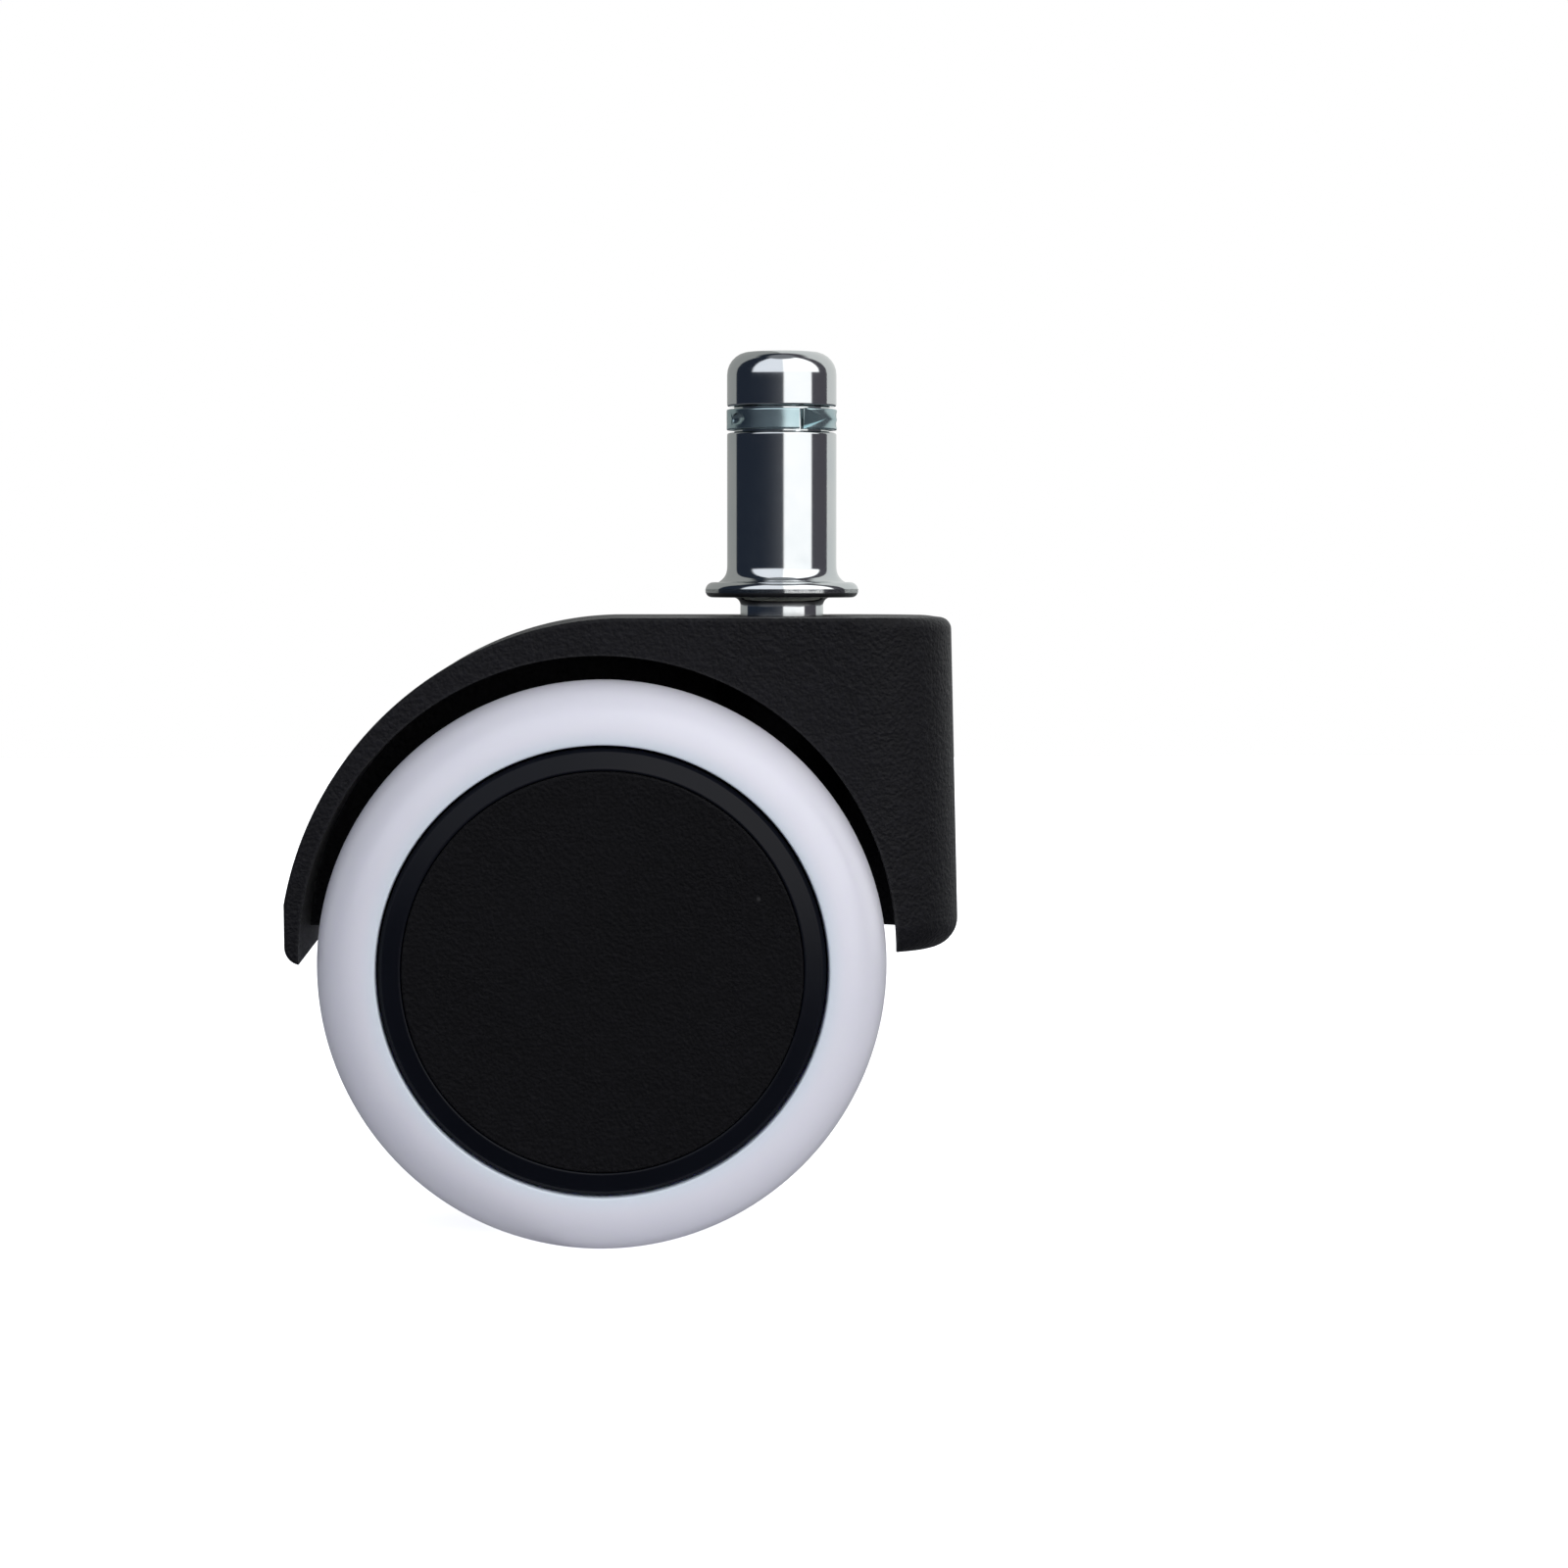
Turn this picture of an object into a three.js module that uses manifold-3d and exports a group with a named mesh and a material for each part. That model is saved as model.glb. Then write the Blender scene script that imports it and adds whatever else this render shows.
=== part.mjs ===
// A hooded twin-wheel chair caster with a grip-ring stem, as separate named pieces.
//
// Millimetres, +Z up along the stem. The origin is on the swivel axis, in the plane of the
// flange's top face. The wheels trail towards -X, and their axle lies along Y, so the left
// wheel is at +Y and the right wheel at -Y.

import * as THREE from 'three';
import { mergeVertices } from 'three/addons/utils/BufferGeometryUtils.js';
import Module from 'manifold-3d';

const wasm = await Module();
wasm.setup();

// ---------------------------------------------------------------- driving dimensions

// Where the wheels are, seen from the swivel axis
const TRAIL = 16.5;
const AXLE_DROP = 33.5;

// Stem: a 10 mm pin for a 22 mm deep socket
const PIN_R = 5.0;
const PIN_TOP = 21.0;
const PIN_TIP_FILLET = 2.1;
const GRIP_GROOVE_FOOT = 13.6;
const GRIP_GROOVE_HEIGHT = 2.4;
const GRIP_GROOVE_R = 4.35;
const FLANGE_R = 7.0;
const FLANGE_THICKNESS = 1.4;
const FLANGE_EDGE = 0.5;
const PIN_FLARE_R = 5.8;
const PIN_FLARE_HEIGHT = 2.0;
const JOURNAL_R = 3.8;
const JOURNAL_END = -25.4;
const JOURNAL_FILLET = 0.9;
const SNAP_GROOVE_FOOT = -23.9;
const SNAP_GROOVE_HEIGHT = 1.3;
const SNAP_GROOVE_R = 3.1;

// Rings on the stem
const GRIP_RING_R = 5.06;
const GRIP_RING_WALL = 0.45;
const GRIP_RING_HEIGHT = 1.9;
const GRIP_RING_GAP = [282, 309];
const SNAP_RING_R = 4.45;
const SNAP_RING_WALL = 1.15;
const SNAP_RING_HEIGHT = 0.8;
const SNAP_RING_GAP = [60, 120];

// Housing: a hood over both wheels, with one web between them
const HOOD_TOP = -3.1;
const HOOD_HALF_WIDTH = 17.0;
const HOOD_EDGE = 0.35;
const HOOD_ARC_R = 30.35;
const HOOD_ARC_X = -14.5;
const HOOD_ARC_END = 170;
const HOOD_TIP_X = -44.35;
const HOOD_TIP = -33.5;
const HOOD_TIP_ROUND = 0.8;
const BACK_TOP_X = 14.9;
const BACK_FOOT_X = 15.6;
const BACK_FOOT = -32.7;
const BACK_TOP_ROUND = 1.1;
const BACK_FOOT_ROUND = 2.6;
const BACK_PLAN_ROUND = 9.0;
const WELL_R = 26.3;
const WELL_X = -TRAIL - 0.3;
const WELL_Z = -AXLE_DROP + 0.8;
const SKIN = 2.0;
const RIB_HALF = 0.8;
const POCKET_TURN = 150;
const WEB_HALF = 2.0;
const WEB_FOOT = -31.2;
const SOCKET_R = 4.95;
const SOCKET_FLOOR = -27.3;
const BOSS_R = 6.5;
const BOSS_FOOT = -28.8;
const AXLE_BOSS_HALF = 6.6;

// Bearing pieces in the socket
const SLEEVE_R = 4.75;
const SLEEVE_BORE_R = 3.97;
const SLEEVE_TOP = HOOD_TOP - 0.3;
const SLEEVE_FOOT = -22.0;
const THRUST_DISC_R = 4.6;
const THRUST_DISC_TOP = -25.8;
const THRUST_DISC_THICKNESS = 1.2;

// Axle and the pieces on it. Places along the axle are distances from the web's middle.
const AXLE_R = 3.0;
const AXLE_HALF = 22.3;
const AXLE_CHAMFER = 0.4;
const AXLE_CLEARANCE = 0.2;
const INNER_WASHER = { r: 6.0, from: 6.78, to: 7.25 };
const OUTER_WASHER = { r: 5.6, from: 20.6, to: 21.1 };
const PUSH_NUT = { r: 5.2, from: 21.3, to: 22.0, rim: 0.35 };

// Wheel
const WHEEL_R = 25.0;
const WHEEL_MIDDLE = 15.8;
const TYRE_HALF_WIDTH = 8.4;
const TYRE_BORE_R = 19.55;
const TYRE_ROUNDNESS = 2.4;
const CORE_FACE_R = 19.3;
const CORE_BEAD_R = 20.6;
const CAP_R = 17.1;
const CAP_FACE = 24.5;
const CAP_EDGE = 0.3;
const SEAT_GAP = 0.25;
const BUSH_R = 4.6;

// How finely round pieces are faceted
const STEM_SIDES = 32;
const WHEEL_SIDES = 48;
const BORE_SIDES = 24;

// ---------------------------------------------------------------- materials

function finish(color, roughness, metalness) {
  return new THREE.MeshStandardMaterial({ color, roughness, metalness });
}

const zincSteel = finish(0xc9ced1, 0.22, 1.0);
const springSteel = finish(0xa9bcc0, 0.3, 1.0);
const plainSteel = finish(0x9a9da0, 0.4, 1.0);
const hoodNylon = finish(0x1d1d20, 0.62, 0.0);
const bearingNylon = finish(0xd9d8d0, 0.5, 0.0);
const coreNylon = finish(0x0e0f14, 0.3, 0.0);
const capNylon = finish(0x18181b, 0.6, 0.0);
const tyreUrethane = finish(0xcdd0de, 0.34, 0.0);

// ---------------------------------------------------------------- shared shape tools

const radians = THREE.MathUtils.degToRad;

// Points on a circle from one angle to another, in degrees, both ends included.
function arc(x, y, r, from, to, steps) {
  const points = [];
  for (let i = 0; i <= steps; i += 1) {
    const angle = radians(from + ((to - from) * i) / steps);
    points.push(new THREE.Vector2(x + r * Math.cos(angle), y + r * Math.sin(angle)));
  }
  return points;
}

// The round that joins two straight edges at a corner.
function round(before, corner, after, r, steps) {
  const centreOf = new THREE.Vector2(...corner);
  const toBefore = new THREE.Vector2(...before).sub(centreOf).normalize();
  const toAfter = new THREE.Vector2(...after).sub(centreOf).normalize();
  const half = Math.acos(toBefore.dot(toAfter)) / 2;
  const start = centreOf.clone().addScaledVector(toBefore, r / Math.tan(half));
  const end = centreOf.clone().addScaledVector(toAfter, r / Math.tan(half));
  const middle = toBefore.clone().add(toAfter).normalize();
  const centre = centreOf.clone().addScaledVector(middle, r / Math.sin(half));
  const first = start.clone().sub(centre).angle();
  let turn = end.clone().sub(centre).angle() - first;
  turn = Math.atan2(Math.sin(turn), Math.cos(turn));
  const toDegrees = THREE.MathUtils.radToDeg;
  return arc(centre.x, centre.y, r, toDegrees(first), toDegrees(first + turn), steps);
}

// A closed geometry as a solid that can be joined and cut, with its faces pointing out.
function solid(geometry) {
  const bare = geometry.clone();
  bare.deleteAttribute('normal');
  bare.deleteAttribute('uv');
  const welded = mergeVertices(bare, 1e-5);
  const vertProperties = new Float32Array(welded.attributes.position.array);
  const corners = [];
  for (let i = 0; i < welded.index.count; i += 3) {
    const [a, b, c] = welded.index.array.slice(i, i + 3);
    if (a !== b && b !== c && c !== a) corners.push([a, b, c]);
  }
  const at = (i) => new THREE.Vector3().fromArray(vertProperties, 3 * i);
  const volume = corners.reduce((sum, [a, b, c]) => sum + at(a).dot(at(b).cross(at(c))), 0);
  const ordered = volume < 0 ? corners.map(([a, b, c]) => [a, c, b]) : corners;
  const triVerts = new Uint32Array(ordered.flat());
  return new wasm.Manifold(new wasm.Mesh({ numProp: 3, vertProperties, triVerts }));
}

function join(...solids) {
  return solids.reduce((whole, piece) => whole.add(piece));
}

// A solid of revolution about Z. The profile is a list of [radius, z].
function turnedOnZ(profile, sides) {
  const points = profile.map(([r, z]) => new THREE.Vector2(r, z));
  return solid(new THREE.LatheGeometry(points, sides).rotateX(Math.PI / 2));
}

// The same about the wheels' axle. The profile is a list of [radius, distance from the web].
function turnedOnAxle(profile, sides, side) {
  const points = profile.map(([r, y]) => new THREE.Vector2(r, side * y));
  return solid(new THREE.LatheGeometry(points, sides).translate(-TRAIL, 0, -AXLE_DROP));
}

// Closes a profile that doesn't start and end on the axis.
function ring(profile) {
  return [...profile, profile[0]];
}

function rectangleRing(innerR, outerR, from, to) {
  return ring([[innerR, from], [outerR, from], [outerR, to], [innerR, to]]);
}

// An outline in X and Z, carried across the wheels to both sides of the middle plane.
function across(points, halfWidth, edge) {
  const geometry = new THREE.ExtrudeGeometry(new THREE.Shape(points), {
    depth: 2 * (halfWidth - edge),
    bevelEnabled: edge > 0,
    bevelSize: edge,
    bevelOffset: -edge,
    bevelThickness: edge,
    bevelSegments: 2,
  });
  return solid(geometry.translate(0, 0, edge - halfWidth).rotateX(Math.PI / 2));
}

// An outline in X and Z, carried across the wheels from one place to another.
function between(points, from, to) {
  const shape = new THREE.Shape(points);
  const geometry = new THREE.ExtrudeGeometry(shape, { depth: to - from, bevelEnabled: false });
  return solid(geometry.translate(0, 0, -to).rotateX(Math.PI / 2));
}

// An outline in X and Y, raised along Z from one height to another.
function raised(points, from, to) {
  const shape = new THREE.Shape(points);
  const geometry = new THREE.ExtrudeGeometry(shape, { depth: to - from, bevelEnabled: false });
  return solid(geometry.translate(0, 0, from));
}

// A flat spring ring with a gap. The gap is given by its two angles in degrees.
function splitRing(r, wall, gap, steps) {
  const outer = arc(0, 0, r, gap[1], gap[0] + 360, steps);
  const inner = arc(0, 0, r - wall, gap[0] + 360, gap[1], steps);
  return [...outer, ...inner];
}

const caster = new THREE.Group();

// Puts a solid into the caster as a named piece.
function addPiece(name, shape, material) {
  const made = shape.getMesh();
  const geometry = new THREE.BufferGeometry();
  geometry.setAttribute('position', new THREE.BufferAttribute(made.vertProperties, 3));
  geometry.setIndex(new THREE.BufferAttribute(made.triVerts, 1));
  const flat = geometry.toNonIndexed();
  flat.computeVertexNormals();
  const piece = new THREE.Mesh(flat, material);
  piece.name = name;
  caster.add(piece);
}

// ---------------------------------------------------------------- stem

function pinTip() {
  const flat = PIN_R - PIN_TIP_FILLET;
  const curve = arc(flat, PIN_TOP - PIN_TIP_FILLET, PIN_TIP_FILLET, 0, 90, 5);
  return [...curve.map((p) => [p.x, p.y]), [0, PIN_TOP]];
}

function gripGroove() {
  const top = GRIP_GROOVE_FOOT + GRIP_GROOVE_HEIGHT;
  const chamfer = 0.2;
  return [
    [PIN_R, GRIP_GROOVE_FOOT - chamfer],
    [PIN_R - chamfer, GRIP_GROOVE_FOOT],
    [GRIP_GROOVE_R, GRIP_GROOVE_FOOT],
    [GRIP_GROOVE_R, top],
    [PIN_R - chamfer, top],
    [PIN_R, top + chamfer],
  ];
}

function flange() {
  const under = -FLANGE_THICKNESS;
  const rim = FLANGE_R - FLANGE_EDGE;
  const neck = arc(JOURNAL_R + JOURNAL_FILLET, under - JOURNAL_FILLET, JOURNAL_FILLET, 180, 90, 3);
  const lower = arc(rim, under + FLANGE_EDGE, FLANGE_EDGE, -90, 0, 2);
  const upper = arc(rim, -FLANGE_EDGE, FLANGE_EDGE, 0, 90, 2);
  return [...[...neck, ...lower, ...upper].map((p) => [p.x, p.y]), ...flare()];
}

// The pin widens smoothly into the flange.
function flare() {
  return [0, 0.12, 0.25, 0.42, 0.65, 1].map((t) => [
    PIN_R + (PIN_FLARE_R - PIN_R) * (1 - t) ** 4,
    PIN_FLARE_HEIGHT * t,
  ]);
}

function journal() {
  const grooveTop = SNAP_GROOVE_FOOT + SNAP_GROOVE_HEIGHT;
  const chamfer = 0.6;
  return [
    [0, JOURNAL_END],
    [JOURNAL_R - chamfer, JOURNAL_END],
    [JOURNAL_R, JOURNAL_END + chamfer],
    [JOURNAL_R, SNAP_GROOVE_FOOT],
    [SNAP_GROOVE_R, SNAP_GROOVE_FOOT],
    [SNAP_GROOVE_R, grooveTop],
    [JOURNAL_R, grooveTop],
  ];
}

function addStem() {
  const profile = [...journal(), ...flange(), ...gripGroove(), ...pinTip()];
  addPiece('stem_pin', turnedOnZ(profile, STEM_SIDES), zincSteel);

  const gripMiddle = GRIP_GROOVE_FOOT + GRIP_GROOVE_HEIGHT / 2;
  const gripOutline = splitRing(GRIP_RING_R, GRIP_RING_WALL, GRIP_RING_GAP, 30);
  const gripFoot = gripMiddle - GRIP_RING_HEIGHT / 2;
  const grip = raised(gripOutline, gripFoot, gripFoot + GRIP_RING_HEIGHT);
  addPiece('grip_ring', grip, springSteel);

  const snapMiddle = SNAP_GROOVE_FOOT + SNAP_GROOVE_HEIGHT / 2;
  const snapOutline = splitRing(SNAP_RING_R, SNAP_RING_WALL, SNAP_RING_GAP, 24);
  const snapFoot = snapMiddle - SNAP_RING_HEIGHT / 2;
  const snap = raised(snapOutline, snapFoot, snapFoot + SNAP_RING_HEIGHT);
  addPiece('stem_snap_ring', snap, springSteel);
}

// ---------------------------------------------------------------- housing

// The fender and the back wall as one horseshoe, with the wheel well inside it.
function hoodOutline() {
  const backFoot = [BACK_FOOT_X, BACK_FOOT];
  const backTop = [BACK_TOP_X, HOOD_TOP];
  const arcCentreZ = HOOD_TOP - HOOD_ARC_R;
  const tipCorner = [HOOD_TIP_X, HOOD_TIP];
  const wellBack = Math.asin((BACK_FOOT - WELL_Z) / WELL_R);
  const wellTip = Math.PI - Math.asin((HOOD_TIP - WELL_Z) / WELL_R);
  const toDegrees = THREE.MathUtils.radToDeg;
  return [
    ...round([0, BACK_FOOT], backFoot, backTop, BACK_FOOT_ROUND, 5),
    ...round(backFoot, backTop, [0, HOOD_TOP], BACK_TOP_ROUND, 4),
    ...arc(HOOD_ARC_X, arcCentreZ, HOOD_ARC_R, 90, HOOD_ARC_END, 24),
    ...round([HOOD_TIP_X, 0], tipCorner, [0, HOOD_TIP], HOOD_TIP_ROUND, 4),
    ...arc(WELL_X, WELL_Z, WELL_R, toDegrees(wellTip), toDegrees(wellBack), 36),
  ];
}

// The web fills the space between the wheels down to just above the axle.
function webOutline() {
  const r = WELL_R + 0.9;
  const lift = Math.asin((WEB_FOOT - WELL_Z) / r);
  const degrees = THREE.MathUtils.radToDeg(lift);
  return arc(WELL_X, WELL_Z, r, degrees, 180 - degrees, 30);
}

// The housing seen from above: the back wall's upright edges are well rounded. The inset
// draws the outline in by a wall's thickness.
function planOutline(inset) {
  const margin = 1;
  const frontX = HOOD_ARC_X - HOOD_ARC_R - margin;
  const side = HOOD_HALF_WIDTH - inset;
  const nearCorner = [BACK_FOOT_X - inset, -side];
  const farCorner = [BACK_FOOT_X - inset, side];
  const turn = BACK_PLAN_ROUND - inset;
  return [
    new THREE.Vector2(frontX, side + margin),
    new THREE.Vector2(frontX, -side - margin),
    new THREE.Vector2(0, -side - margin),
    new THREE.Vector2(0, -side),
    ...round([0, -side], nearCorner, farCorner, turn, 8),
    ...round(nearCorner, farCorner, [0, side], turn, 8),
    new THREE.Vector2(0, side),
    new THREE.Vector2(0, side + margin),
  ];
}

function discOnZ(r, from, to, sides) {
  return turnedOnZ([[0, from], [r, from], [r, to], [0, to]], sides);
}

function barOnAxle(r, half, sides) {
  return turnedOnAxle([[0, -half], [r, -half], [r, half], [0, half]], sides, 1);
}

// The outline of the hollows above and behind the wheels, one skin inside the hood's own.
function pocketOutline() {
  const arcCentreZ = HOOD_TOP - HOOD_ARC_R;
  return [
    new THREE.Vector2(BACK_FOOT_X - SKIN, BACK_FOOT - SKIN),
    new THREE.Vector2(BACK_TOP_X - SKIN, HOOD_TOP - SKIN),
    ...arc(HOOD_ARC_X, arcCentreZ, HOOD_ARC_R - SKIN, 90, POCKET_TURN, 14),
    new THREE.Vector2(WELL_X, BACK_FOOT - SKIN),
  ];
}

function rectangle(lowX, lowY, highX, highY) {
  return [[lowX, lowY], [highX, lowY], [highX, highY], [lowX, highY]].map(
    ([x, y]) => new THREE.Vector2(x, y),
  );
}

// A hollow on each side of the web, with a rib left across from the stem's boss. The hollows
// meet below the web's foot.
function pockets() {
  const top = HOOD_TOP - SKIN;
  const foot = HOOD_TIP - SKIN;
  const reach = HOOD_HALF_WIDTH - SKIN;
  const right = between(pocketOutline(), -reach, -WEB_HALF);
  const left = between(pocketOutline(), WEB_HALF, reach);
  const underWeb = rectangle(0, foot, BACK_FOOT_X - SKIN, WEB_FOOT);
  const joined = join(right, left, between(underWeb, -WEB_HALF, WEB_HALF));
  const rib = raised(rectangle(-RIB_HALF, -HOOD_HALF_WIDTH, RIB_HALF, HOOD_HALF_WIDTH), foot, top);
  return joined.intersect(raised(planOutline(SKIN), foot, top)).subtract(rib);
}

function addHousing() {
  const margin = 1;
  const hood = across(hoodOutline(), HOOD_HALF_WIDTH, HOOD_EDGE);
  const web = across(webOutline(), WEB_HALF, 0);
  const stemBoss = discOnZ(BOSS_R, BOSS_FOOT, HOOD_TOP - margin, BORE_SIDES);
  const axleBoss = barOnAxle(BOSS_R, AXLE_BOSS_HALF, BORE_SIDES);
  const plan = raised(planOutline(0), HOOD_TIP - 2 * BOSS_R, HOOD_TOP + margin);
  const socket = discOnZ(SOCKET_R, SOCKET_FLOOR, HOOD_TOP + margin, BORE_SIDES);
  const axleBore = barOnAxle(AXLE_R + AXLE_CLEARANCE, AXLE_BOSS_HALF + margin, BORE_SIDES);
  const whole = join(hood.subtract(pockets()), web, stemBoss, axleBoss).intersect(plan);
  addPiece('housing', whole.subtract(socket).subtract(axleBore), hoodNylon);
}

// ---------------------------------------------------------------- swivel bearing

function addSwivelBearing() {
  const sleeve = rectangleRing(SLEEVE_BORE_R, SLEEVE_R, SLEEVE_FOOT, SLEEVE_TOP);
  addPiece('socket_sleeve', turnedOnZ(sleeve, BORE_SIDES), bearingNylon);
  const foot = THRUST_DISC_TOP - THRUST_DISC_THICKNESS;
  const disc = discOnZ(THRUST_DISC_R, foot, THRUST_DISC_TOP, BORE_SIDES);
  addPiece('thrust_disc', disc, plainSteel);
}

// ---------------------------------------------------------------- axle

function addAxle() {
  const end = AXLE_R - AXLE_CHAMFER;
  const profile = [
    [0, -AXLE_HALF],
    [end, -AXLE_HALF],
    [AXLE_R, AXLE_CHAMFER - AXLE_HALF],
    [AXLE_R, AXLE_HALF - AXLE_CHAMFER],
    [end, AXLE_HALF],
    [0, AXLE_HALF],
  ];
  addPiece('axle', turnedOnAxle(profile, BORE_SIDES, 1), plainSteel);
}

function washer(size, side) {
  const profile = rectangleRing(AXLE_R + AXLE_CLEARANCE, size.r, size.from, size.to);
  return turnedOnAxle(profile, BORE_SIDES, side);
}

// A dished push-on nut: its inner edge stands further out than its rim.
function pushNut(side) {
  const bore = AXLE_R + AXLE_CLEARANCE;
  const profile = ring([
    [bore, PUSH_NUT.to - PUSH_NUT.rim],
    [PUSH_NUT.r, PUSH_NUT.from],
    [PUSH_NUT.r, PUSH_NUT.from + PUSH_NUT.rim],
    [bore, PUSH_NUT.to],
  ]);
  return turnedOnAxle(profile, BORE_SIDES, side);
}

function addAxleHardware(name, side) {
  addPiece(`inner_washer_${name}`, washer(INNER_WASHER, side), bearingNylon);
  addPiece(`outer_washer_${name}`, washer(OUTER_WASHER, side), plainSteel);
  addPiece(`push_nut_${name}`, pushNut(side), springSteel);
}

// ---------------------------------------------------------------- wheel

// The tread and side of the tyre as one rounded section, from the web side outwards.
function tyreSection(steps) {
  const height = WHEEL_R - TYRE_BORE_R;
  const points = [];
  for (let i = 0; i <= steps; i += 1) {
    const t = Math.PI * (1 - i / steps);
    const along = Math.sign(Math.cos(t)) * Math.abs(Math.cos(t)) ** (2 / TYRE_ROUNDNESS);
    const up = Math.abs(Math.sin(t)) ** (2 / TYRE_ROUNDNESS);
    points.push([TYRE_BORE_R + height * up, WHEEL_MIDDLE + TYRE_HALF_WIDTH * along]);
  }
  return points;
}

function tyre(side) {
  const seat = CORE_BEAD_R + SEAT_GAP;
  const profile = ring([
    ...tyreSection(12),
    [TYRE_BORE_R, 21.3],
    [seat, 20.5],
    [seat, 10.9],
    [TYRE_BORE_R, 10.1],
  ]);
  return turnedOnAxle(profile, WHEEL_SIDES, side);
}

// Hub, disc and rim. The rim's outer face has a bevel round the seat of the hub cap.
function wheelCore(side) {
  const capSeat = CAP_R + SEAT_GAP;
  const profile = ring([
    [BUSH_R + SEAT_GAP, 7.5],
    [7.4, 7.5],
    [7.4, 11.2],
    [17.6, 11.2],
    [17.6, 7.9],
    [CORE_FACE_R, 7.9],
    [CORE_FACE_R, 10.2],
    [CORE_BEAD_R, 11.1],
    [CORE_BEAD_R, 20.3],
    [CORE_FACE_R, 21.2],
    [CORE_FACE_R, 23.5],
    [CORE_FACE_R - 0.3, 23.85],
    [capSeat, 24.35],
    [capSeat, 22.6],
    [16.2, 22.6],
    [16.2, 13.7],
    [7.4, 13.7],
    [7.4, 19.6],
    [BUSH_R + SEAT_GAP, 19.6],
  ]);
  return turnedOnAxle(profile, WHEEL_SIDES, side);
}

// A flat cover with a skirt that snaps into the rim.
function hubCap(side) {
  const under = 22.9;
  const skirtEnd = 20.9;
  const skirtR = 15.9;
  const skirtWall = 0.9;
  const profile = [
    [0, under],
    [skirtR - skirtWall, under],
    [skirtR - skirtWall, skirtEnd],
    [skirtR, skirtEnd],
    [skirtR, under],
    [CAP_R, under],
    [CAP_R, CAP_FACE - CAP_EDGE],
    [CAP_R - CAP_EDGE, CAP_FACE],
    [0, CAP_FACE],
  ];
  return turnedOnAxle(profile, WHEEL_SIDES, side);
}

function wheelBush(side) {
  const bore = AXLE_R + AXLE_CLEARANCE;
  const collarR = 5.6;
  const profile = ring([
    [bore, 7.55],
    [BUSH_R, 7.55],
    [BUSH_R, 19.8],
    [collarR, 19.8],
    [collarR, 20.4],
    [bore, 20.4],
  ]);
  return turnedOnAxle(profile, BORE_SIDES, side);
}

function addWheel(name, side) {
  addPiece(`tyre_${name}`, tyre(side), tyreUrethane);
  addPiece(`wheel_core_${name}`, wheelCore(side), coreNylon);
  addPiece(`hub_cap_${name}`, hubCap(side), capNylon);
  addPiece(`wheel_bush_${name}`, wheelBush(side), bearingNylon);
}

// ---------------------------------------------------------------- assembly

addStem();
addHousing();
addSwivelBearing();
addAxle();
for (const [name, side] of [['left', 1], ['right', -1]]) {
  addAxleHardware(name, side);
  addWheel(name, side);
}

export default caster;
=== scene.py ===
"""Looks for a hooded twin-wheel chair caster, built round its CAD frame.

Metres, +Z up along the stem, the axle along Y and the wheels trailing towards -X.
Shapes are written in millimetres and scaled by MM when their mesh is made.
"""

import math

import bmesh
import bpy
from mathutils import Matrix, Vector


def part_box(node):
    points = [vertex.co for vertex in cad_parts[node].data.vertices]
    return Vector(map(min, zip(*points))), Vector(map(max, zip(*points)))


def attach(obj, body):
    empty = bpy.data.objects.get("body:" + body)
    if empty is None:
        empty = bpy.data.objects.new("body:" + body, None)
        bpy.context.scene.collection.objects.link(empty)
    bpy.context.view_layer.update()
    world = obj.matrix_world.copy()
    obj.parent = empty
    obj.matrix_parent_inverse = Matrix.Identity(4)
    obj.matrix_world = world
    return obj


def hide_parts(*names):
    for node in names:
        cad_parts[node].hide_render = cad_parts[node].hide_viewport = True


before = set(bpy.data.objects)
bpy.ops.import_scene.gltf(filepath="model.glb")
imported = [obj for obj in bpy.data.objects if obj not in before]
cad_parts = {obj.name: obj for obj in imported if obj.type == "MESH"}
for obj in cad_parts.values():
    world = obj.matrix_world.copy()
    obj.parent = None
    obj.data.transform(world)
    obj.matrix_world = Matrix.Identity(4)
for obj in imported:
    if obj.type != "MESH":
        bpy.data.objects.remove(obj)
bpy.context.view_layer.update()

MM = 0.001

# ---------------------------------------------------------------- places from the frame


def box_mm(node):
    """A CAD node's lowest and highest corners, in millimetres."""
    low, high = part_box(node)
    return low / MM, high / MM


hood_high = box_mm("housing")[1]
tyre_low, tyre_high = box_mm("tyre_left")
pin_low, pin_high = box_mm("stem_pin")

AXLE_X = (tyre_low.x + tyre_high.x) / 2
AXLE_Z = (tyre_low.z + tyre_high.z) / 2
WHEEL_R = (tyre_high.z - tyre_low.z) / 2
FLOOR_Z = tyre_low.z

# ---------------------------------------------------------------- mesh tools


def on_stem(r, angle, along):
    """A point of a turned piece on the stem's axis."""
    return Vector((r * math.cos(angle), r * math.sin(angle), along))


def on_axle(side):
    """The same for pieces on the axle, where along is the distance from the web's middle."""

    def place(r, angle, along):
        return Vector((AXLE_X + r * math.cos(angle), side * along, AXLE_Z + r * math.sin(angle)))

    return place


def weld(mesh):
    """Joins the points that lie on each other and points the faces out."""
    bm = bmesh.new()
    bm.from_mesh(mesh)
    bmesh.ops.remove_doubles(bm, verts=bm.verts, dist=1e-8)
    bmesh.ops.recalc_face_normals(bm, faces=bm.faces)
    bm.to_mesh(mesh)
    bm.free()


def make_object(name, verts, faces):
    """A mesh object from millimetre points, welded and with its faces pointing out."""
    mesh = bpy.data.meshes.new(name)
    mesh.from_pydata([Vector(v) * MM for v in verts], [], faces)
    weld(mesh)
    made = bpy.data.objects.new(name, mesh)
    bpy.context.scene.collection.objects.link(made)
    return made


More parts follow.
